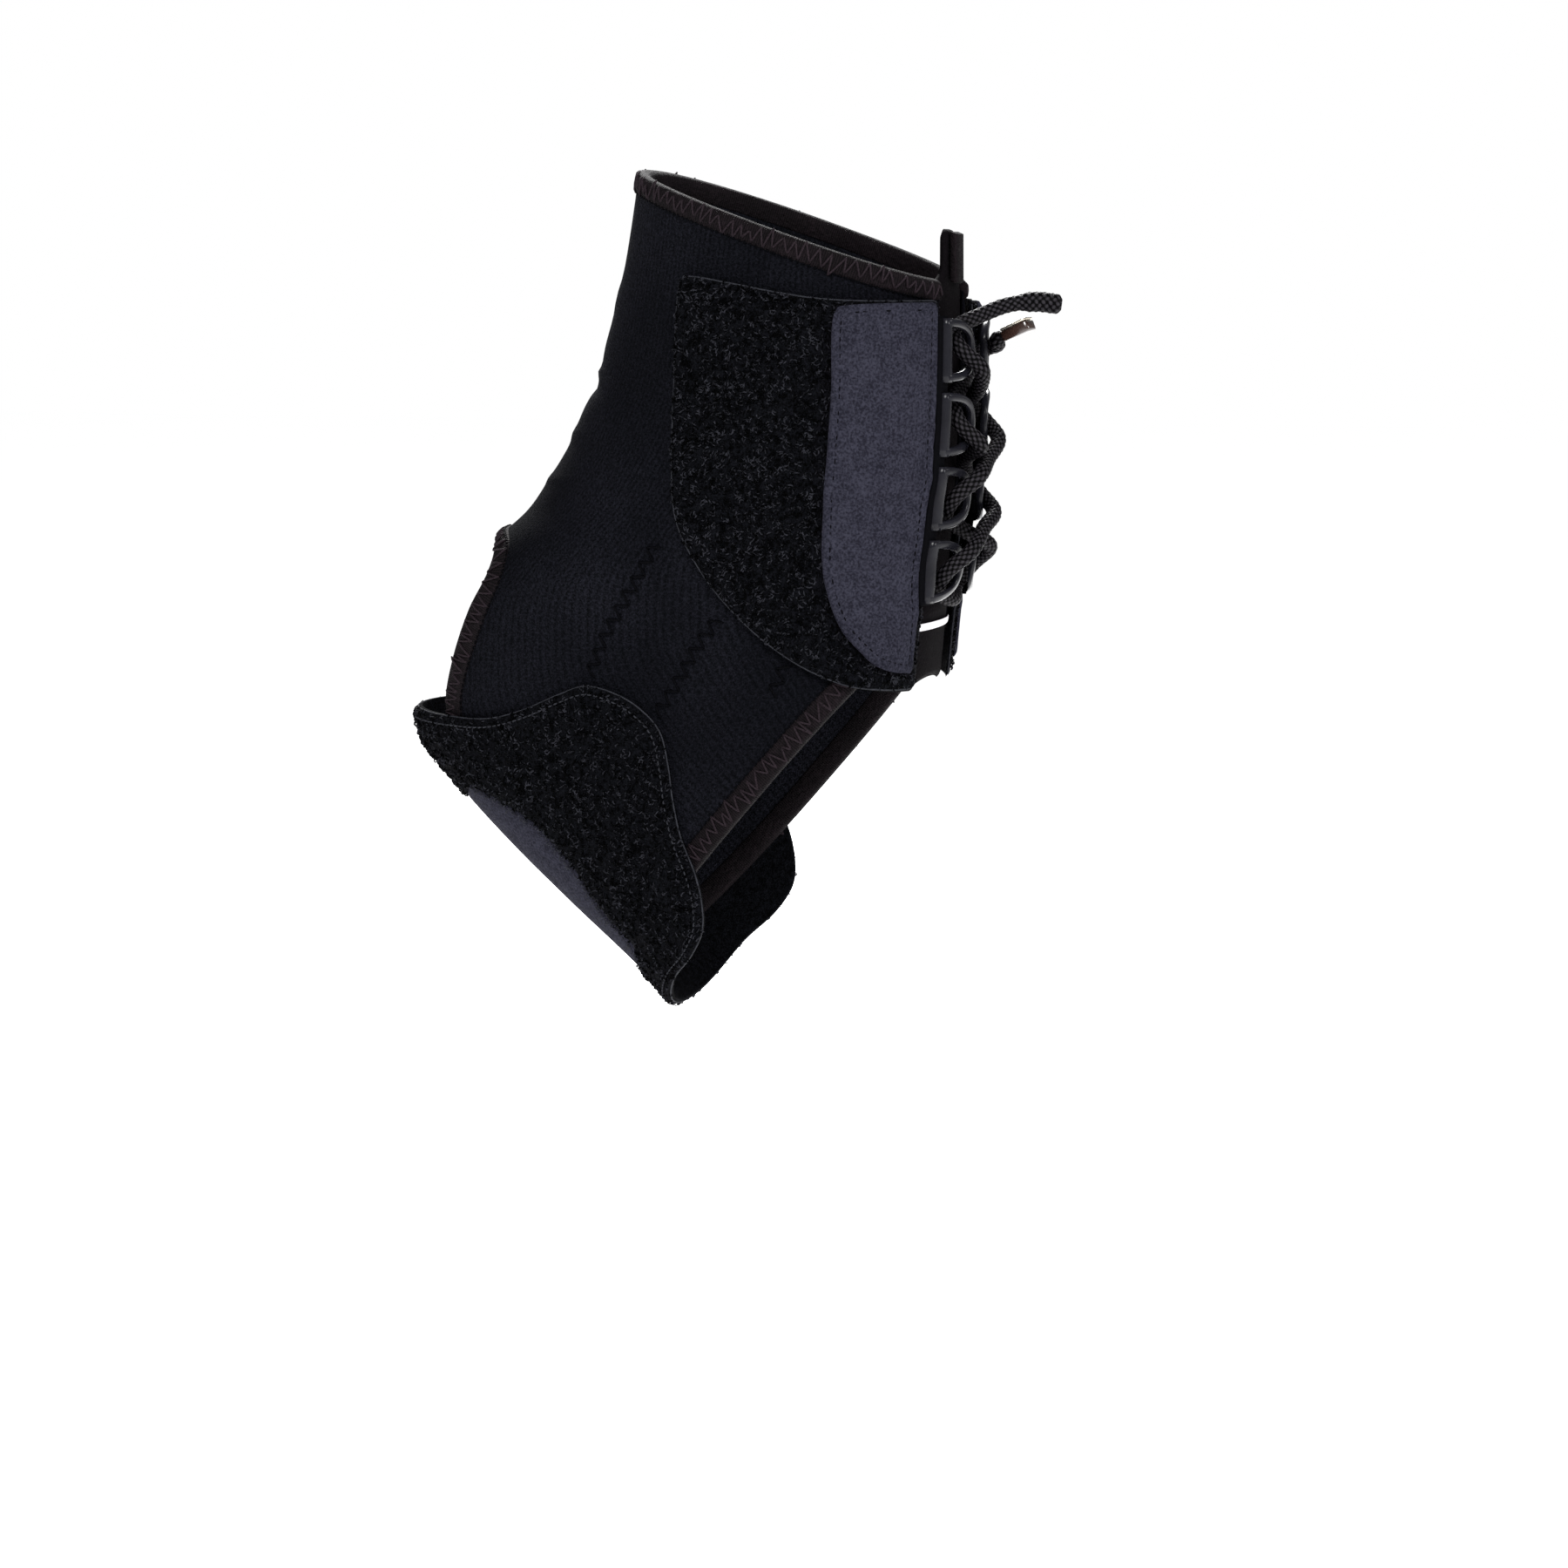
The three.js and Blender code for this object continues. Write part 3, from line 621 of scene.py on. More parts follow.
PATCH_OUTLINE = [
    (-0.66, -0.575), (-0.6, -0.59), (-0.55, -0.61), (-0.47, -0.647), (-0.4, -0.707), (-0.345, -0.78),
    (-0.295, -0.868), (-0.22, -0.965), (-0.4, -1.2), (-0.9, -0.8),
]
HEEL_EDGE = [
    (-0.8, 0.07), (-0.64, 0.055), (-0.575, 0.02), (-0.575, -0.03), (-0.62, -0.12), (-0.675, -0.25),
    (-0.7, -0.35), (-0.69, -0.44), (-0.655, -0.5), (-0.64, -0.56), (-0.68, -0.64), (-0.8, -0.76),
]
wrap_line, panel_line, strap_line, patch_line, heel_line = [
    smooth_line(np.array(outline) * [REACH, RISE])
    for outline in (WRAP_OUTLINE, PANEL_OUTLINE, STRAP_OUTLINE, PATCH_OUTLINE, HEEL_EDGE)
]
heel_hole = np.vstack([heel_line, [(-2 * REACH, -RISE), (-2 * REACH, 0.1 * RISE)]])


def beside(line, distance):
    """A line moved sideways, to the left of its direction."""
    ahead = tangents(line)
    return line + distance * np.stack([-ahead[:, 1], ahead[:, 0]], -1)


def chord_depth(places, row):
    """How far X and Z places lie below a row's plane, in millimetres."""
    back, front = [on_form(row, angle)[[0, 2]] for angle in (math.pi, 0)]
    ahead = (front - back) / np.linalg.norm(front - back)
    away = places - back
    return ahead[1] * away[:, 0] - ahead[0] * away[:, 1]


outline_lines = (wrap_line, panel_line, strap_line, patch_line, heel_line)
print("outlines of", [len(line) for line in outline_lines], "points")

# %% [markdown]
# The sleeve
#
# The real sleeve is a ribbed stretch knit on thin foam rubber, cut open down the front, at the heel and at
# its lower end. Stretched, it shows hardly any form of its own except some steps at the back, so these are
# moved in the mesh, and the ribs of the knit, a little over a millimetre apart, are bump on its own UVs.

# %% The sleeve's finish and shape
TOP_BINDING, HEEL_BINDING, FOOT_BINDING = 5, 6.5, 5.5
UNDER_BINDING = 1.5
SLOT_TOP, SLOT_FOOT = 9, 16.5
TONGUE_HALF = 21
TONGUE_SHOULDER = 0.66
RIB_PITCH = 1.25
COURSE_PITCH = 0.9
FOLDS = np.array([
    # row, angle in degrees, height, half length along the rows and half width round the form in degrees
    [2.1, 180, 1.45, 0.35, 50],
    [3.1, 180, 1.0, 0.35, 55],
    [5.1, 165, -1.0, 0.5, 60],
    [1.75, 190, 0.5, 0.09, 24],
    [2.45, 196, 0.75, 0.08, 26],
    [2.72, 187, -0.5, 0.08, 22],
    [3.45, 192, 0.6, 0.12, 26],
    [4.3, 190, 0.4, 0.12, 30],
])

knit = Finish("ribbed_knit", Roughness=0.85, Specular_IOR_Level=0.015)
around, down, _ = knit.parts(knit.cloth_place())
waver = knit.noise(60, detail=2)
rib = ((around * (2 * math.pi / (RIB_PITCH * MM)) + 2.5 * waver).sine() * 0.5 + 0.5) ** 0.7
course = (down * (2 * math.pi / (COURSE_PITCH * MM)) + 3.1 * rib).sine() * 0.5 + 0.5
cloud = knit.steepened(knit.noise(24, detail=3, rough=0.4), 0.35, 0.7)
grain = knit.steepened(knit.noise(1900, detail=2, rough=0.6), 0.4, 0.64)
relief = rib * (0.7 + 0.3 * course) * 0.3 + 0.7 * grain
lit = (relief * (0.4 + 0.65 * cloud)).clamped()
knit.set("Base Color", knit.mixed(lit, (0.0009, 0.001, 0.0014), (0.0086, 0.0087, 0.0126)))
knit.set("Roughness", 0.95 - 0.2 * cloud)
knit.bumped(relief, 0.00022)


def fold_height(along, angle):
    turned = np.degrees(np.mod(angle, 2 * math.pi))
    total = 0
    for row, at, high, long, wide in FOLDS:
        aside = np.minimum(np.abs(turned - at), np.abs(360 - turned - at))
        total = total + high * np.exp(-((along - row) / long) ** 2 - (aside / wide) ** 2)
    return total


def slot_depth(points):
    half = np.interp(points[:, 2], [-0.3 * RISE, RISE], [SLOT_FOOT, SLOT_TOP])
    return np.where(points[:, 0] > 0, np.abs(points[:, 1]) - half, 99)


def sleeve_depth(along, angle):
    points = on_form(along, angle, SLEEVE_OUT)
    places = points[:, [0, 2]]
    return np.min([
        chord_depth(places, RIM_ROW) - UNDER_BINDING,
        -chord_depth(places, OPENING_ROW) - UNDER_BINDING,
        -depth_inside(heel_hole, places) - UNDER_BINDING,
        slot_depth(points),
    ], axis=0)


def cloth(rows, angles, keep, under, over):
    """A wall of cloth between two layers, each a function of row, angle and depth: points, faces and UVs."""
    along, angle, depth, faces = cut_grid(rows, angles, keep)
    top, bottom = [on_form(along, angle, layer(along, angle, depth)) for layer in (over, under)]
    points, faces = walled(top, bottom, faces)
    return points, face_turn(points, faces), np.tile(flat_places(along, angle), (2, 1))


def sleeve_under(along, angle, depth):
    points = on_form(along, angle, SLEEVE_IN)
    near_middle = np.abs(points[:, 1]) < TONGUE_HALF + 1
    behind_tongue = (points[:, 0] > 0) & near_middle & (points[:, 2] < TONGUE_SHOULDER * RISE)
    return np.where(behind_tongue, TONGUE_OUT + GAP, SLEEVE_IN) + fold_height(along, angle)


def sleeve_over(along, angle, depth):
    return SLEEVE_OUT - 0.5 * (1 - rounded_edge(depth, 1)) + fold_height(along, angle)


sleeve_points, sleeve_faces, sleeve_uv = cloth(
    np.linspace(RIM_ROW, OPENING_ROW, 168), np.linspace(0.2, 2 * math.pi - 0.2, 210), sleeve_depth,
    sleeve_under, sleeve_over)
piece("knit_sleeve", sleeve_points, sleeve_faces, knit.material, "sleeve_knit", ["sleeve"], sleeve_uv)

# %% [markdown]
# Stitches
#
# One stitch is a short thread that dives into the cloth at both ends. Hundreds of them share one mesh. Each
# is a tube of five rings whose outer rings are sunk, so a row of them reads as sewing from any side.


# %% Sewn threads
def skin_normals(along, angle):
    return unit(on_form(along, angle, 1) - on_form(along, angle, 0))


def stitches(starts, ends, normals, radius, sides=5, sink=0.25):
    """Threads from starts to ends that lie on the surface and dive into it."""
    share = np.array([0, 0.16, 0.5, 0.84, 1])
    lift = np.array([-sink, radius * 0.4, radius * 0.8, radius * 0.4, -sink])
    size = np.array([0.55, 0.95, 1, 0.95, 0.55]) * radius
    line = starts[:, None] + (ends - starts)[:, None] * share[None, :, None]
    line = line + normals[:, None] * lift[None, :, None]
    ahead = unit(ends - starts)
    across = unit(np.cross(ahead, normals))
    turn = np.arange(sides) / sides * 2 * math.pi
    upright = unit(np.cross(across, ahead))
    spokes = across[:, None] * np.cos(turn)[None, :, None] + upright[:, None] * np.sin(turn)[None, :, None]
    points = line[:, :, None] + spokes[:, None] * size[None, :, None, None]
    return points.reshape(-1, 3), tube_faces(len(starts), len(share), sides)


def tube_faces(count, rings, sides):
    """Faces of many short tubes with the same number of rings, their ends closed."""
    ring, step = np.arange(rings - 1)[:, None] * sides, np.arange(sides)[None]
    after = (step + 1) % sides
    wall = np.stack([ring + step, ring + after, ring + sides + after, ring + sides + step], -1).reshape(-1, 4)
    start = np.arange(count)[:, None, None] * rings * sides
    faces = (start + wall[None]).reshape(-1, 4).tolist()
    caps = np.array([np.arange(sides)[::-1], np.arange(sides) + (rings - 1) * sides])
    return faces + (start + caps[None]).reshape(-1, sides).tolist()


def sewn_line(along, angle, off, pitch, radius, gap=0.28):
    """A straight row of stitches along places of the form."""
    line = on_form(along, angle, off)
    even, along, angle = resample(line, pitch, along, angle)
    starts, ends = even[:-1], even[1:] * (1 - gap) + even[:-1] * gap
    return stitches(starts, ends, skin_normals(along, angle)[:-1], radius)


def zigzag(inner, outer, normals, radius):
    """A zigzag between two lines of the same number of points."""
    near, far = inner[:-1], outer[1:]
    count = len(near)
    odd = np.arange(count) % 2 == 1
    starts = np.where(odd[:, None], outer[:-1], near)
    ends = np.where(odd[:, None], inner[1:], far)
    return stitches(starts, ends, normals[:count], radius)


sewing = Finish("sewing_thread", Roughness=0.7, Specular_IOR_Level=0.03)
twist = sewing.noise(3000, detail=1)
sewing.set("Base Color", sewing.mixed(twist, (0.002, 0.0015, 0.0019), (0.021, 0.0148, 0.0185)))
dark_sewing = Finish("dark_thread", Roughness=0.7, Specular_IOR_Level=0.015)
dark_twist = dark_sewing.noise(3000, detail=1)
dark_thread = dark_sewing.mixed(dark_twist, (0.0004, 0.0004, 0.0006), (0.0018, 0.0018, 0.0026))
dark_sewing.set("Base Color", dark_thread)

# %% [markdown]
# Bound edges
#
# The rim, the heel opening and the foot opening are bound with a woven tape that is folded over the edge and
# sewn down in a zigzag. A band is a section swept along its edge. Laying each point of the section back on
# the form keeps the tape snug where the edge bends.

# %% The three bindings
binding = Finish("woven_tape", Roughness=0.8, Specular_IOR_Level=0.05)
tape_run, tape_across, _ = binding.parts(binding.cloth_place())
weft = (tape_run * (2 * math.pi / (0.55 * MM)) + 1.2 * binding.noise(300, detail=1)).sine() * 0.5 + 0.5
fuzz = binding.steepened(binding.noise(900, detail=3, rough=0.7), 0.4, 0.65)
worn = binding.steepened(binding.noise(90, detail=3), 0.35, 0.75)
lit = (weft * 0.45 + fuzz * worn * 0.7).clamped()
binding.set("Base Color", binding.mixed(lit, (0.0008, 0.0006, 0.0008), (0.0088, 0.0058, 0.0074)))
binding.bumped(weft * 0.4 + fuzz * 0.8, 0.00025)

BAND_STEP = 0.9
EDGE_PLACES = 1040
ZIGZAG_PITCH = 2.7
BAND_SECTION = np.array([
    # share of the width from the edge inwards, and share of the thickness from the skin outwards
    [1, 0.9], [0.96, 1], [0.8, 1.03], [0.5, 1.05], [0.25, 1.03], [0.1, 0.97], [0.02, 0.8], [-0.03, 0.5],
    [0.02, 0.2], [0.1, 0.05], [0.3, 0], [0.9, 0], [1, 0.1],
])


def band_places(along, angle, inward, distance, closed):
    """Places at a distance from an edge, measured over the skin to the side that inward names."""
    edge = on_form(along, angle)
    ahead = tangents(edge, closed)
    across = unit(np.cross(skin_normals(along, angle), ahead)) * inward
    return settled(edge + across * distance, along, angle)


def swept_band(along, angle, inward, wide, closed):
    rows = [band_places(along, angle, inward, share * wide, closed) for share, _ in BAND_SECTION]
    folds = fold_height(along, angle)
    heights = BAND_SECTION[:, 1] * BINDING_OUT
    points = np.stack([on_form(*row, height + folds) for row, height in zip(rows, heights)], 1)
    count, sides = points.shape[:2]
    ring = np.arange(count if closed else count - 1)[:, None] * sides
    step = np.arange(sides)[None]
    after, next_ring = (step + 1) % sides, (ring + sides) % (count * sides)
    faces = np.stack([ring + step, ring + after, next_ring + after, next_ring + step], -1)
    faces = faces.reshape(-1, 4).tolist()
    if not closed:
        faces += [list(range(sides))[::-1], list(range((count - 1) * sides, count * sides))]
    run = lengths(on_form(along, angle))
    round_band = np.array([0, *lengths(BAND_SECTION)[:-1]]) * wide
    uv = np.stack(np.broadcast_arrays(run[:, None], round_band[None]), -1)
    points = points.reshape(-1, 3)
    return points, face_turn(points, faces), uv.reshape(-1, 2)


def band_zigzag(along, angle, inward, low, high, pitch):
    _, along, angle = resample(on_form(along, angle), pitch / 2, along, angle)
    inner, outer = [band_places(along, angle, inward, distance, False) for distance in (low, high)]
    folds = fold_height(along, angle)
    lines = [on_form(*places, BINDING_OUT * 1.04 + folds) for places in (inner, outer)]
    normals = skin_normals(along, angle)
    shift = np.random.default_rng(len(along)).normal(0, 0.5, (2, len(along), 3))
    shift -= (shift * normals).sum(-1, keepdims=True) * normals
    return zigzag(lines[0] + shift[0], lines[1] + shift[1], normals, 0.28)


def row_edge(row):
    """The edge that follows one row round the form, from one side of the front slot to the other."""
    start = 0.05
    angle = np.linspace(start, 2 * math.pi - start, EDGE_PLACES)
    along = np.full(len(angle), float(row))
    inside = slot_depth(on_form(along, angle, SLEEVE_OUT)) > 0
    along, angle = along[inside], angle[inside]
    return resample(on_form(along, angle), BAND_STEP, along, angle)[1:]


def heel_loop():
    """The heel opening's edge: down the far side, round the sole and up the near side."""
    fine = resample(heel_line, 0.05)
    along, angle = seen_from_side(fine, BINDING_OUT / 2, FAR)
    points = on_form(along, angle, BINDING_OUT / 2)
    seen = np.linalg.norm(points[:, [0, 2]] - fine, axis=-1) < 0.02
    along, angle = along[seen], angle[seen]
    along, angle = np.concatenate([along, along[::-1]]), np.concatenate([angle, 2 * math.pi - angle[::-1]])
    _, along, angle = resample(on_form(along, angle), BAND_STEP, along, angle)
    return along[:-1], angle[:-1]


edges = {
    "top_binding": (*row_edge(RIM_ROW), TOP_BINDING, False),
    "foot_binding": (*row_edge(OPENING_ROW), FOOT_BINDING, False),
    "heel_binding": (*heel_loop(), HEEL_BINDING, True),
}


def inward_of(along, angle, closed, name):
    """Which side of the edge the cloth is on: away from the hole."""
    probe = on_form(*band_places(along, angle, 1, 2.0, closed))[:, [0, 2]]
    away = {
        "top_binding": chord_depth(probe, RIM_ROW),
        "foot_binding": -chord_depth(probe, OPENING_ROW),
        "heel_binding": -depth_inside(heel_hole, probe),
    }[name]
    return 1 if np.median(away) > 0 else -1


zigzags, tacks = [], []
for name, (along, angle, wide, closed) in edges.items():
    inward = inward_of(along, angle, closed, name)
    points, faces, uv = swept_band(along, angle, inward, wide, closed)
    band_name = "bound_" + name.replace("_binding", "_edge")
    piece(band_name, points, faces, binding.material, "edge_binding", [name], uv)
    zigzags.append(band_zigzag(along, angle, inward, wide * 0.12, wide * 0.86, ZIGZAG_PITCH))
    tack_places = band_places(along, angle, inward, wide * 0.98, closed)
    tacks.append(sewn_line(*tack_places, BINDING_OUT - 0.05, 1.5, 0.2))
piece("zigzag_stitches", *joined(zigzags), sewing.material, "edge_binding")
piece("edge_tacks", *joined(tacks), dark_sewing.material, "edge_binding")

# %% [markdown]
# Seams on the sleeve
#
# Three short zigzag seams run down each side, where darts give the sleeve its bend. They are sewn in black,
# and show as little more than a thread on the knit.

# %% The three dart seams
DART_SEAMS = (
    [(-9.8, 5.8), (-16.3, -5.3), (-23.1, -16.4), (-27.7, -26.4)],
    [(5, -11.7), (-0.5, -18.9), (-5.8, -28.1), (-10.8, -35.4)],
    [(20.9, -22.2), (19.4, -26), (17.8, -29.9)],
)
DART_HALF = 1.7
darts = []
for seam in DART_SEAMS:
    line = resample(smooth_line(seam), 2)
    seam_sides = beside(line, DART_HALF), beside(line, -DART_HALF)
    for side in (NEAR, FAR):
        left, right = [
            on_form(*seen_from_side(edge, SLEEVE_OUT, side), SLEEVE_OUT + 0.08) for edge in seam_sides]
        darts.append(zigzag(left, right, skin_normals(*seen_from_side(line, SLEEVE_OUT, side)), 0.3))
piece("dart_seams", *joined(darts), dark_sewing.material, "sleeve_knit")

# %% [markdown]
# Loop pile
#
# The wraps and the strap are the loop side of hook-and-loop cloth: a mat of small standing yarn loops. Bump
# alone looks like felt, and hair would be lost in the exported mesh. So the mat has real lumps in its mesh,
# and on it stand several thousand half rings of yarn, scattered evenly and leaning at random.


# %% Pile helpers
def lattice_noise(points, size, seed):
    """Smooth heights from -1 to 1 whose hills lie about that far apart."""
    lattice = np.random.default_rng(seed).uniform(-1, 1, (23, 23, 23))
    low = np.floor(points / size).astype(int)
    share = points / size - low
    share = share * share * (3 - 2 * share)
    total = np.zeros(len(points))
    for corner in np.ndindex(2, 2, 2):
        weight = np.prod(np.where(corner, share, 1 - share), axis=-1)
        total += weight * lattice[tuple(((low + corner) % 23).T)]
    return total


def scattered(sheet, count, rng):
    """Random places, spread evenly over a cut sheet, with their depths."""
    along, angle, depth, faces = sheet
    triangles = np.array([(face[0], one, other) for face in faces for one, other in zip(face[1:], face[2:])])
    a, b, c = on_form(along, angle, PAD_OUT)[triangles].transpose(1, 0, 2)
    area = np.linalg.norm(np.cross(b - a, c - a), axis=-1)
    picked = triangles[rng.choice(len(triangles), count, p=area / area.sum())]
    u, v = rng.random((2, count))
    u, v = np.where(u + v > 1, 1 - u, u), np.where(u + v > 1, 1 - v, v)
    one, other, third = picked.T
    return [(1 - u - v) * column[one] + u * column[other] + v * column[third] for column in sheet[:3]]


def yarn_loops(bases, normals, rng, wide, tall, radius, rings=5, sides=3):
    """Half rings of yarn that stand on the cloth and lean at random."""
    count = len(bases)
    side = unit(np.cross(normals, [0.3, 0.2, 1]))
    other = np.cross(normals, side)
    spin = rng.random(count)[:, None] * 2 * math.pi
    ahead = side * np.cos(spin) + other * np.sin(spin)
    lean = rng.normal(0, 0.45, (count, 2))
    rise = unit(normals + side * lean[:, :1] + other * lean[:, 1:])
    size = rng.uniform(0.7, 1.3, count)[:, None, None]
    turn = np.linspace(-0.3, math.pi + 0.3, rings)[None, :, None]
    radial = ahead[:, None] * np.cos(turn) * wide + rise[:, None] * np.sin(turn) * tall
    across = unit(np.cross(ahead, rise))[:, None, None]
    line = bases[:, None] + radial * size
    corner = (np.arange(sides) / sides * 2 * math.pi)[None, None, :, None]
    points = line[:, :, None] + radius * (unit(radial)[:, :, None] * np.cos(corner) + across * np.sin(corner))
    return points.reshape(-1, 3), tube_faces(count, rings, sides)


def rim_of(along, angle, faces):
    """The places along the edge of a cut sheet, in order."""
    edges = {(one, other) for face in faces for one, other in zip(face, face[1:] + face[:1])}
    after = {one: other for one, other in edges if (other, one) not in edges}
    order = [min(after)]
    while after[order[-1]] != order[0]:
        order.append(after[order[-1]])
    return along[order], angle[order]


def other_side(points, faces):
    """The mirror image of a piece, for the far side."""
    return points * [1, -1, 1], [face[::-1] for face in faces]


pile = Finish("loop_pile", Roughness=0.95, Specular_IOR_Level=0.02)
clump, fibre = pile.noise(700, detail=4, rough=0.7), pile.noise(2600, detail=2)
tuft = pile.steepened(clump * 0.5 + fibre * 0.5, 0.42, 0.62)
pile.set("Base Color", pile.mixed(tuft, (0.0003, 0.0003, 0.0004), (0.0036, 0.0038, 0.0052)))
pile.bumped(clump + 0.7 * fibre, 0.0005)
yarn = Finish("pile_yarn", Roughness=0.8, Specular_IOR_Level=0.02)
shade = yarn.steepened(yarn.noise(520, detail=3, rough=0.7), 0.47, 0.62)
yarn.set("Base Color", yarn.mixed(shade, (0.0002, 0.0002, 0.0003), (0.0165, 0.0168, 0.021)))
edge_thread = Finish("cut_edge", Roughness=0.75, Specular_IOR_Level=0.06)
edge_fibre = edge_thread.noise(500, detail=3)
edge_thread.set("Base Color", edge_thread.mixed(edge_fibre, (0.004, 0.0042, 0.0055), (0.026, 0.027, 0.033)))


def pile_over(lumps, seed):
    """The upper layer of a pile sheet: lumpy, and rounded down at its edge."""
    def over(along, angle, depth):
        points = on_form(along, angle, PAD_OUT)
        mat = 0.7 * lattice_noise(points, 1.7, seed) + 0.5 * lattice_noise(points, 0.9, seed + 1)
        return PAD_IN + (PAD_OUT - PAD_IN) * (0.45 + 0.5 * rounded_edge(depth, 1.6)) + lumps * mat
    return over


def pile_sheet(name, node, rows, angles, keep, bare, count, seed, mirror):
    """A wall of loop pile with its yarn loops and its cut edge. Where bare is positive, no loops stand."""
    along, angle, depth, faces = cut_grid(rows, angles, keep)
    over = pile_over(0.22, seed)
    top, under = on_form(along, angle, over(along, angle, depth)), on_form(along, angle, PAD_IN)
    points, walls = walled(top, under, faces)
    body = points, face_turn(points, walls)
    rng = np.random.default_rng(seed)
    a, t, d = scattered((along, angle, depth, faces), count, rng)
    shown = bare(a, t) < 0
    a, t, d = a[shown], t[shown], d[shown]
    base = on_form(a, t, over(a, t, d) - 0.12)
    stand = yarn_loops(base, skin_normals(a, t), rng, 0.5, 0.6, 0.2)
    edge = on_form(*rim_of(along, angle, faces), PAD_IN + 0.45 * (PAD_OUT - PAD_IN))
    hem = tube(resample(edge, 1.5), 0.22, 5)
    layers = (("_cloth", body, pile), ("_yarn", stand, yarn), ("_edge", hem, edge_thread))
    for label, turned in mirror:
        laid = []
        for suffix, shape, finish in layers:
            shape = other_side(*shape) if turned else shape
            stands_for = [] if laid else [label + node]
            laid.append(piece(label + name + suffix, *shape, finish.material, "loop_pile", stands_for))


# %% [markdown]
# The wraps
#
# Each wrap is one flap of pile cloth that reaches from the lacing round to the side, where its corner is cut
# to a long curve. It ends PAD_FRONT from the middle plane, where the moulded strip is sewn to it.

# %% Both wraps
PAD_FRONT = 16
PANEL_FRONT = PAD_FRONT + 3.6
PAIR = (("near_", False), ("far_", True))


def flap_depth(line, front, off):
    def depth(along, angle):
        points = on_form(along, angle, off)
        return np.minimum(depth_inside(line, points[:, [0, 2]]), np.abs(points[:, 1]) - front)
    return depth


wrap_depth = flap_depth(wrap_line, PAD_FRONT, PAD_OUT)
panel_depth = flap_depth(panel_line, PANEL_FRONT, PANEL_OUT)
pile_sheet(
    "wrap", "wrap", np.linspace(0.6, 14.6, 150), np.linspace(math.pi * 1.1, math.pi * 2 - 0.25, 105),
    wrap_depth, lambda a, t: panel_depth(a, t) - 0.8, 6200, 11, PAIR)

# %% [markdown]
# The stirrup strap
#
# A strap of the same pile passes under the lower end of the brace and up both its sides. A smooth napped
# patch fills a cut-out in it, and the pile's cut edge frays there. Its outer edge has a second row of sewing.


# %% The strap and the patch
def strap_depth(along, angle):
    places = on_form(along, angle, PAD_OUT)[:, [0, 2]]
    return np.minimum(depth_inside(strap_line, places), -depth_inside(patch_line, places) - 2 * GAP)


PATCH_UNDER = 0.9


def patch_depth(along, angle):
    return depth_inside(patch_line, on_form(along, angle, PAD_OUT)[:, [0, 2]]) + PATCH_UNDER


pile_sheet(
    "strap", "stirrup_strap", np.linspace(6.5, LAST_ROW, 130), np.linspace(0.6, 2 * math.pi - 0.6, 200),
    strap_depth, lambda a, t: np.full(len(a), -1.0), 6500, 23, (("", False),))

felt = Finish("napped_felt", Roughness=0.9, Specular_IOR_Level=0.02)
nap, speck = felt.noise(260, detail=5, rough=0.75), felt.noise(1700, detail=2, rough=0.65)
mottle = felt.steepened(nap * 0.3 + speck * 0.7, 0.4, 0.61)
felt.set("Base Color", felt.mixed(mottle, (0.0065, 0.0065, 0.0102), (0.0205, 0.0205, 0.03)))
felt.bumped(speck + 0.4 * nap, 0.00025)
HEM_INSET = 1.8
strap_edge = resample(strap_line, 0.8)
hems = []
for side in (NEAR, FAR):
    places = seen_from_side(beside(strap_edge, -HEM_INSET), PAD_OUT, side)
    if np.median(strap_depth(*places)) < 0:
        places = seen_from_side(beside(strap_edge, HEM_INSET), PAD_OUT, side)
    line = on_form(*places, PAD_OUT)
    aside = np.linalg.norm(line[:, [0, 2]] - strap_edge, axis=-1)
    clear = (strap_depth(*places) > HEM_INSET * 0.7) & (aside < 2 * HEM_INSET)
    kept = [column[clear] for column in places]
    hems.append(sewn_line(*kept, PAD_OUT + 0.1, 1.6, 0.2, gap=0.3))
piece("strap_hem_sewing", *joined(hems), edge_thread.material, "loop_pile")

fray_line = resample(patch_line, 0.7)
fray_ends = fray_line + np.random.default_rng(41).normal(0, 0.7, fray_line.shape)
frays = []
for side in (NEAR, FAR):
    start_places, end_places = [seen_from_side(line, PAD_OUT, side) for line in (fray_line, fray_ends)]
    starts, ends = on_form(*start_places, PAD_OUT - 0.3), on_form(*end_places, PAD_OUT)
    on_cloth = np.linalg.norm(starts[:, [0, 2]] - fray_line, axis=-1) < 1
    on_cloth &= np.linalg.norm(ends[:, [0, 2]] - fray_ends, axis=-1) < 1
    frays.append(stitches(starts[on_cloth], ends[on_cloth], skin_normals(*start_places)[on_cloth], 0.11))
piece("frayed_threads", *joined(frays), edge_thread.material, "loop_pile")
patch_points, patch_faces, patch_uv = cloth(
    np.linspace(7, LAST_ROW, 100), np.linspace(0.9, 2 * math.pi - 0.9, 140), patch_depth,
    lambda a, t, d: np.full(len(a), PAD_IN), lambda a, t, d: PAD_IN + 1.6 - 0.5 * (1 - rounded_edge(d, 0.8)))
sole_felt = piece(
    "sole_felt", patch_points, patch_faces, felt.material, "lace_felt", ["sole_patch"], patch_uv)

# %% [markdown]
# The lace panels
#
# The smooth facing on each wrap is a thick napped felt, sewn down all round. The sewing pulls a groove into
# it. The groove comes from the depth that the cutting has worked out, and a row of threads lies in it.

# %% Both lace panels
SEAM_INSET = 1.7


def panel_over(along, angle, depth):
    groove = 0.42 * np.exp(-(((depth - SEAM_INSET) / 0.4) ** 2))
    points = on_form(along, angle, PANEL_OUT)
    mounded = PANEL_IN + 1.5 * (0.5 + 0.5 * rounded_edge(depth, 0.9))
    return mounded - groove + 0.04 * lattice_noise(points, 1.1, 5)


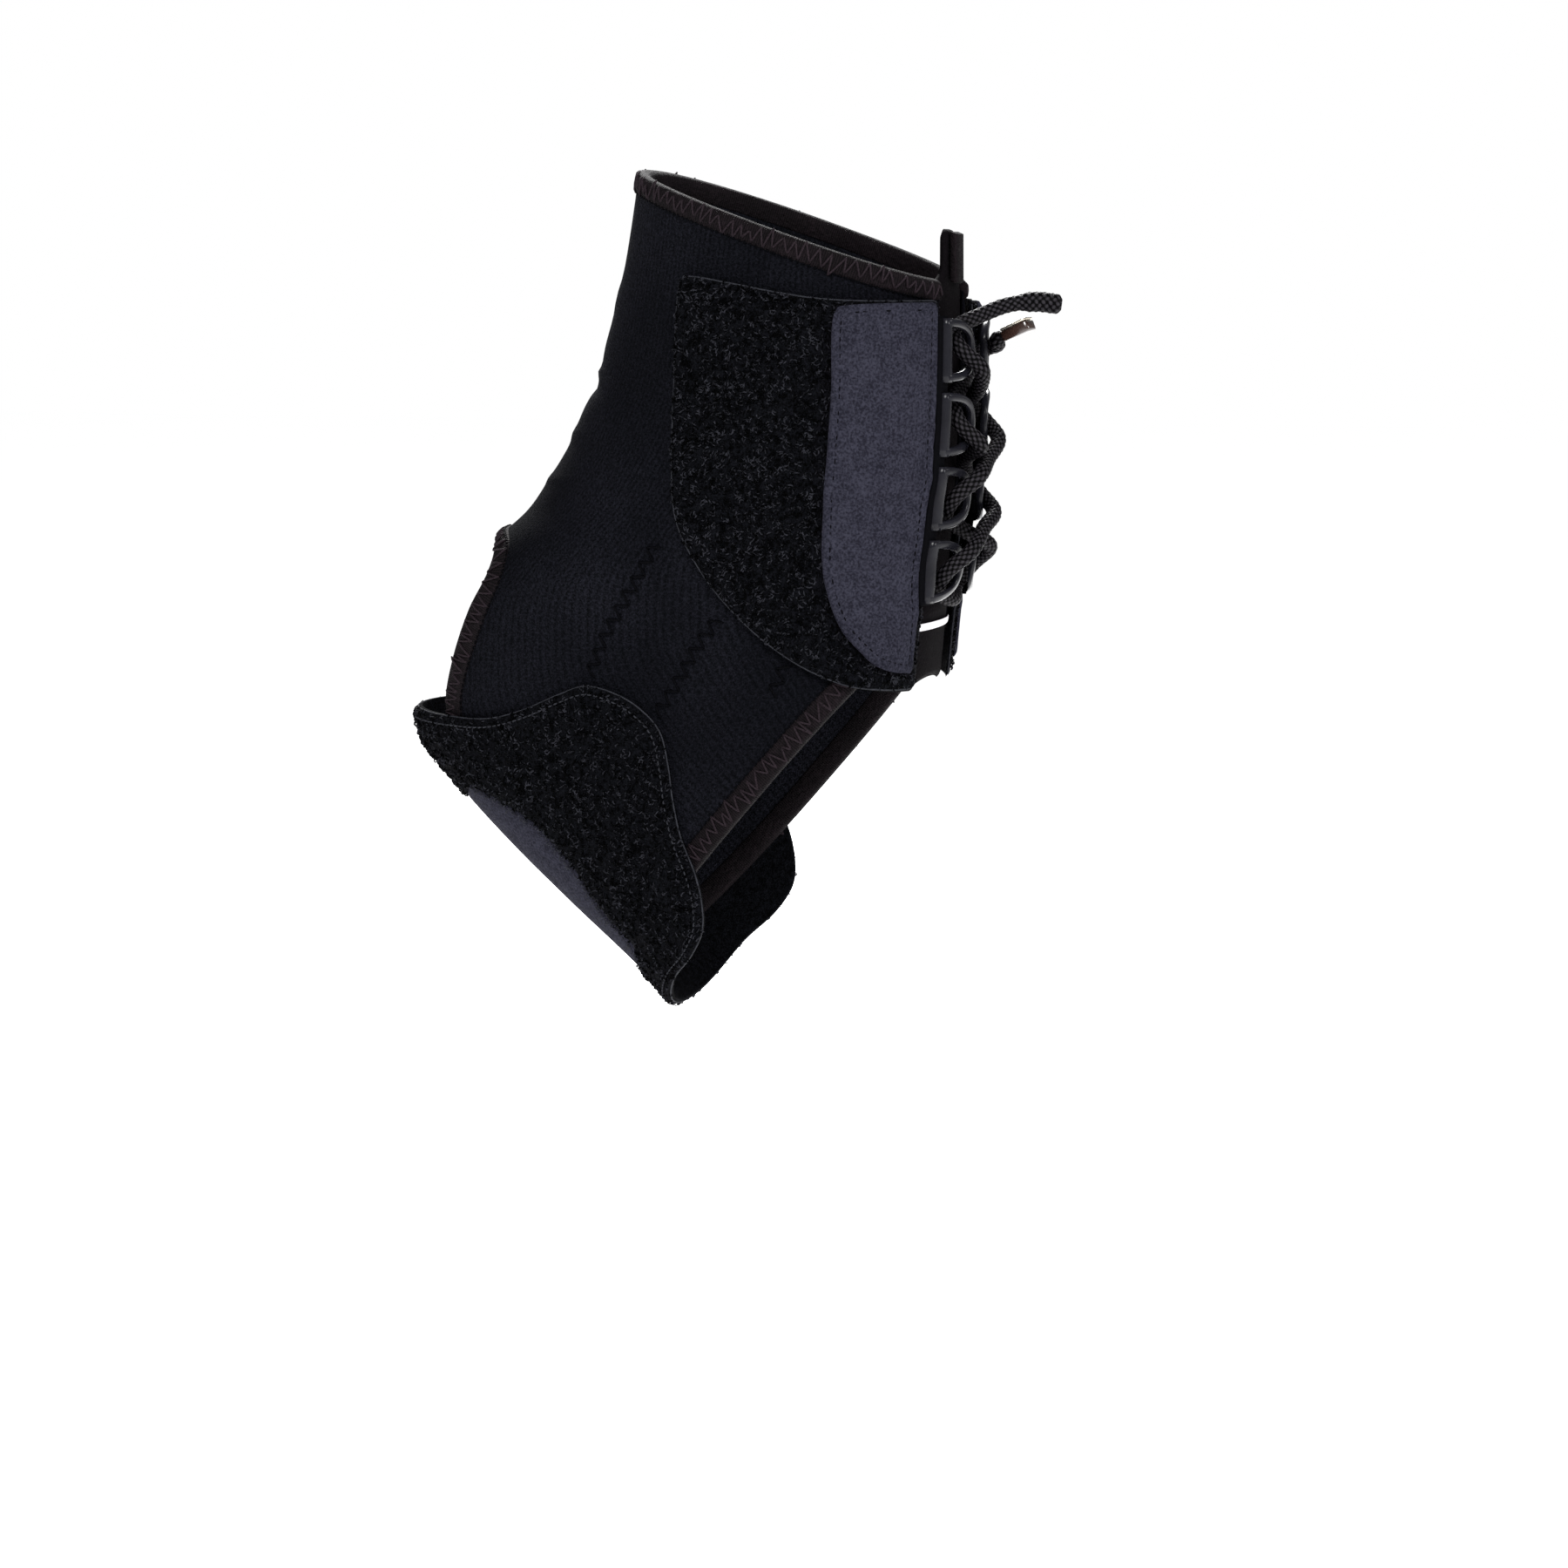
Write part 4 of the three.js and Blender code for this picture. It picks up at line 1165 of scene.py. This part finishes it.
panel_sheet = cut_grid(
    np.linspace(0.6, 14.6, 230), np.linspace(math.pi * 1.25, math.pi * 2 - 0.35, 120), panel_depth)
panel_top = on_form(*panel_sheet[:2], panel_over(*panel_sheet[:3]))
panel_points, panel_walls = walled(panel_top, on_form(*panel_sheet[:2], PANEL_IN), panel_sheet[3])
panel_shape = panel_points, face_turn(panel_points, panel_walls)
seam_rim = rim_of(panel_sheet[0], panel_sheet[1], panel_sheet[3])
seam_rim = resample(on_form(*seam_rim, 0), 0.6, *seam_rim)[1:]
seam_places = band_places(*seam_rim, -1, SEAM_INSET, True)
if np.median(panel_depth(*seam_places)) < 0:
    seam_places = band_places(*seam_rim, 1, SEAM_INSET, True)
panel_seam = sewn_line(*seam_places, PANEL_OUT - 0.4, 1.9, 0.17)
for label, turned in PAIR:
    shapes = [other_side(*shape) if turned else shape for shape in (panel_shape, panel_seam)]
    panel = piece(label + "felt_panel", *shapes[0], felt.material, "lace_felt", [label + "lace_panel"])
    seam = piece(label + "panel_seam", *shapes[1], dark_sewing.material, "lace_felt")

# %% [markdown]
# The tongue
#
# A thin tongue lies behind the lacing. It rises above the rim as a folded pull tab, and under the lowest loop
# a plain pale stripe crosses it. All three are sheets cut from a front view.

# %% The tongue, its tab and its stripe
TONGUE_OUTLINE = np.array([
    (5.2, 69), (5.2, 77), (3.2, 79), (-3.2, 79), (-5.2, 77), (-5.2, 69), (-15, 64), (-21, 58), (-21, -22),
    (-15, -28), (15, -28), (21, -22), (21, 58), (15, 64),
], float)
TAB_HALF, TAB_LOW, TAB_TALL, TAB_THICK = 3.4, 66.5, 12, 1.8
STRIPE_HALF, STRIPE_LOW, STRIPE_WIDE, STRIPE_THICK = 15, -15.3, 1.6, 0.5


def front_sheet(outline, off):
    def depth(along, angle):
        points = on_form(along, angle, off)
        return depth_inside(outline, points[:, [1, 2]])
    return depth


def rectangle(half, low, tall):
    return np.array([(-half, low), (half, low), (half, low + tall), (-half, low + tall)], float)


# The tongue's cloth is near-black by its own colour, and it is darkened further as painted shade of the
# lacing that lies over it.
lining = Finish("tongue_cloth", Roughness=0.9, Specular_IOR_Level=0.02)
lining_weave = lining.noise(1200, detail=3)
lining.set("Base Color", lining.mixed(lining_weave, (0.0006, 0.0005, 0.0007), (0.0035, 0.0027, 0.0034)))
lining.bumped(lining.noise(1500, detail=2), 0.0002)
pale = Finish("pale_stripe", Roughness=0.7, Specular_IOR_Level=0.3)
pale.set("Base Color", pale.mixed(pale.noise(900, detail=3), (0.42, 0.4, 0.42), (0.8, 0.78, 0.8)))
tab_outline = rectangle(TAB_HALF, TAB_LOW, TAB_TALL)
stripe_outline = rectangle(STRIPE_HALF, STRIPE_LOW, STRIPE_WIDE)
ON_TONGUE = TONGUE_OUT + LAYER_GAP
tongue_parts = (
    # name, node, outline, layers, finish, slot, rows of the form and how finely its grid is cut
    ("soft_tongue", "tongue", TONGUE_OUTLINE, TONGUE_IN, TONGUE_OUT,
     lining, "edge_binding", (0, 14, 150), 70),
    ("folded_tab", "pull_tab", tab_outline, ON_TONGUE, ON_TONGUE + TAB_THICK,
     binding, "edge_binding", (0, 3, 60), 60),
    ("pale_stripe", "tongue_stripe", stripe_outline, ON_TONGUE, ON_TONGUE + STRIPE_THICK,
     pale, "stripe_white", (9, 15, 500), 90),
)
for name, node, outline, under, over, finish, slot, rows, angle_count in tongue_parts:
    points, faces, uv = cloth(
        np.linspace(*rows), np.linspace(-1.15, 1.15, angle_count), front_sheet(outline, over),
        lambda a, t, d: np.full(len(a), under),
        lambda a, t, d: over - 0.4 * (over - under) * (1 - rounded_edge(d, 0.8)))
    made = piece(name, points, faces, finish.material, slot, [node], uv)

# %% [markdown]
# The moulded strips
#
# Each strip is one glossy moulding: a narrow base, sewn between wrap and panel, with four flat D-loops. The
# loops are swept with a rounded flat section and share one mesh with their straight bars; the base is a mesh
# of its own.

# %% Both moulded strips
STRIP_WIDE, STRIP_THICK = 3, 2.5
LOOP_COUNT, LOOP_TOP, LOOP_PITCH = 4, 51.3, 17.4
LOOP_TALL, LOOP_REACH, LOOP_WIRE = 15, 11.5, 1.05
LOOP_OFF = PANEL_IN + STRIP_THICK / 2 + 0.4
LOOP_SQUARE = 0.8

moulding = Finish("moulded_plastic", Roughness=0.25, Specular_IOR_Level=0.14)
haze = moulding.noise(160, detail=3)
moulding.set("Base Color", moulding.mixed(haze, (0.003, 0.003, 0.0042), (0.008, 0.008, 0.0112)))
moulding.set("Roughness", 0.14 + 0.2 * haze)
moulding.bumped(moulding.noise(400, detail=2), 0.00004)


def swept_front(centres, across_dirs, section):
    """A section swept along Y and Z places of the front view: rows of (sideways, outwards) offsets."""
    rings = []
    for sideways, outwards in section:
        places = centres + across_dirs * sideways
        off = LOOP_OFF + outwards
        rings.append(on_form(*seen_from_front(places, off), off))
    points = np.stack(rings, 1)
    count, sides = points.shape[:2]
    faces = tube_faces(1, count, sides)
    points = points.reshape(-1, 3)
    return points, face_turn(points, faces)


def rounded_section(half_wide, half_thick, corner, steps=3):
    turns = np.linspace(0, math.pi / 2, steps)
    quarter = [
        (half_wide - corner + corner * math.cos(turn), half_thick - corner + corner * math.sin(turn))
        for turn in turns]
    left = [(-x, y) for x, y in quarter[::-1]]
    return quarter + left + [(-x, -y) for x, y in quarter] + [(x, -y) for x, y in quarter[::-1]]


def d_loop(index):
    turn = np.linspace(0, math.pi, 33)
    root = PAD_FRONT + GAP + STRIP_WIDE / 2
    centres = np.stack([
        root - (LOOP_REACH + STRIP_WIDE / 2 - LOOP_WIRE) * np.sin(turn) ** LOOP_SQUARE,
        LOOP_TOP - index * LOOP_PITCH + (LOOP_TALL / 2 - LOOP_WIRE) * signed_power(np.cos(turn), LOOP_SQUARE),
    ], -1)
    ahead = tangents(centres)
    return swept_front(centres, np.stack([-ahead[:, 1], ahead[:, 0]], -1), rounded_section(1.0, 0.9, 0.55))


def upright_bar(high, low, sideways, section):
    """A straight bar of the strip, from one height to another, that far from the middle plane."""
    heights = np.linspace(high, low, max(5, round((high - low) / 1.5)))
    centres = np.stack([np.full(len(heights), sideways), heights], -1)
    return swept_front(centres, np.tile([1.0, 0.0], (len(heights), 1)), section)


def lowered(section, drop):
    return [(sideways, outwards - drop) for sideways, outwards in section]


STRIP_MIDDLE = PAD_FRONT + GAP + STRIP_WIDE / 2
loop_heights = [LOOP_TOP - index * LOOP_PITCH for index in range(LOOP_COUNT)]
past_loops = LOOP_TALL / 2 + 0.5
strip_ends = loop_heights[0] + past_loops, loop_heights[-1] - past_loops
base_shape = upright_bar(*strip_ends, STRIP_MIDDLE, lowered(rounded_section(1.5, 0.7, 0.4), 0.95))
bar_section = rounded_section(0.95, 0.85, 0.5)
bars = [
    upright_bar(height + LOOP_TALL / 2, height - LOOP_TALL / 2, STRIP_MIDDLE - 0.5, bar_section)
    for height in loop_heights]
loop_shape = joined([*[d_loop(index) for index in range(LOOP_COUNT)], *bars])
# The strip base is a real part, and its near-black thread finish is painted shade of the gap beside the
# loops.
for label, turned in (("far_", False), ("near_", True)):
    shapes = [other_side(*shape) if turned else shape for shape in (loop_shape, base_shape)]
    piece(label + "d_loops", *shapes[0], moulding.material, "moulded_plastic", [label + "loop_strip"])
    piece(label + "strip_base", *shapes[1], dark_sewing.material, "edge_binding")

# %% [markdown]
# The tag
#
# The second end of the lace is held by a small glossy brown clip. A thin bright cream strip along its top is
# a painted highlight of the clip's top edge.

# %% The tag
TAG_LONG, TAG_WIDE = 8, 4.4
end_ahead = tangents(lace_line)[-1]
tag_across = unit(np.cross(end_ahead, [0, 0, 1]))
tag_up = np.cross(tag_across, end_ahead)
tag_start = lace_line[-1] + end_ahead * GAP


def tag_block(low, high, half_wide, half_thick, lift, corner):
    """A rounded bar along the lace's end, from low to high shares of the tag's length."""
    run = np.array([0, 0.04, 0.12, 0.88, 0.96, 1])
    size = np.array([0.6, 0.88, 1, 1, 0.88, 0.6])
    section = np.array(rounded_section(half_wide, half_thick, corner))
    rings = [
        tag_start + end_ahead * TAG_LONG * (low + (high - low) * place)
        + (section[:, :1] * tag_across + section[:, 1:] * tag_up) * scale + tag_up * lift
        for place, scale in zip(run, size)]
    points = np.concatenate(rings)
    return points, face_turn(points - points.mean(0), tube_faces(1, len(run), len(section)))


clip = Finish("brown_clip", Roughness=0.25, Specular_IOR_Level=0.5, Coat_Weight=0.4, Coat_Roughness=0.1)
clip.set("Base Color", clip.mixed(clip.noise(350, detail=2), (0.012, 0.006, 0.005), (0.035, 0.018, 0.014)))
# Painted highlight: a thin bright cream strip laid along the clip's top edge.
highlight_finish = Finish("painted_highlight", Roughness=0.3, Metallic=0.8)
highlight_finish.set("Base Color", highlight_finish.mixed(highlight_finish.noise(400, detail=2), (0.6, 0.52, 0.4), (0.9, 0.86, 0.78)))
clip_block = tag_block(0, 1, TAG_WIDE / 2, 1.35, -0.35, 0.5)
highlight_block = tag_block(0.02, 1, TAG_WIDE / 2 - 0.1, 0.3, 1.3, 0.2)
tag = piece("lace_clip", *clip_block, clip.material, "tag_plastic", ["lace_tag"])
bright = piece("clip_painted_highlight", *highlight_block, highlight_finish.material, "tag_plastic")
(lace_line * MM).tolist()

# %% [markdown]
# Floor and light
#
# The photograph is a plain studio shot: even white all round and soft light from the front. A white world
# gives the even part. Three soft lamps shape the glossy loops and graze the pile.

# %% The studio
FLOOR_DROP = 0.12
FLOOR_SIZE = 12
AMBIENT = 0.32


def lamp(name, azimuth, elevation, distance, size, power):
    light = bpy.data.lights.new(name, "AREA")
    light.energy, light.size = power, size
    turn, rise = math.radians(azimuth), math.radians(elevation)
    away = Vector((math.sin(turn) * math.cos(rise), -math.cos(turn) * math.cos(rise), math.sin(rise)))
    thing = bpy.data.objects.new(name, light)
    thing.location = away * distance
    thing.rotation_euler = away.to_track_quat("Z", "Y").to_euler()
    bpy.context.scene.collection.objects.link(thing)


world = bpy.data.worlds.new("studio")
world.use_nodes = True
world.node_tree.nodes["Background"].inputs["Color"].default_value = (1, 1, 1, 1)
seen = world.node_tree.nodes.new("ShaderNodeLightPath")
brightness = world.node_tree.nodes.new("ShaderNodeMapRange")
brightness.inputs["To Min"].default_value = AMBIENT
brightness.inputs["To Max"].default_value = 1.0
world.node_tree.links.new(seen.outputs["Is Camera Ray"], brightness.inputs["Value"])
world.node_tree.links.new(brightness.outputs[0], world.node_tree.nodes["Background"].inputs["Strength"])
bpy.context.scene.world = world
bpy.context.scene.view_settings.view_transform = "Standard"
lamp("key", 12, 42, 1.2, 0.5, 21)
lamp("side", 80, 25, 1.2, 0.3, 8)
lamp("far", 200, 35, 1.2, 0.5, 34)

paper = Finish(
    "pale_floor", Roughness=1, Specular_IOR_Level=0, Emission_Strength=0.68, Emission_Color=(1, 1, 1, 1))
paper.set("Base Color", paper.mixed(paper.noise(6, detail=2), (0.97, 0.97, 0.97), (0.99, 0.99, 0.99)))
half = FLOOR_SIZE / 2
floor_mesh = bpy.data.meshes.new("floor")
level = CAD_BOX[0].z - FLOOR_DROP
floor_corners = [(-half, -half, level), (half, -half, level), (half, half, level), (-half, half, level)]
floor_mesh.from_pydata(floor_corners, [], [(0, 1, 2, 3)])
floor_mesh.materials.append(paper.material)
floor = bpy.data.objects.new("floor", floor_mesh)
bpy.context.scene.collection.objects.link(floor)
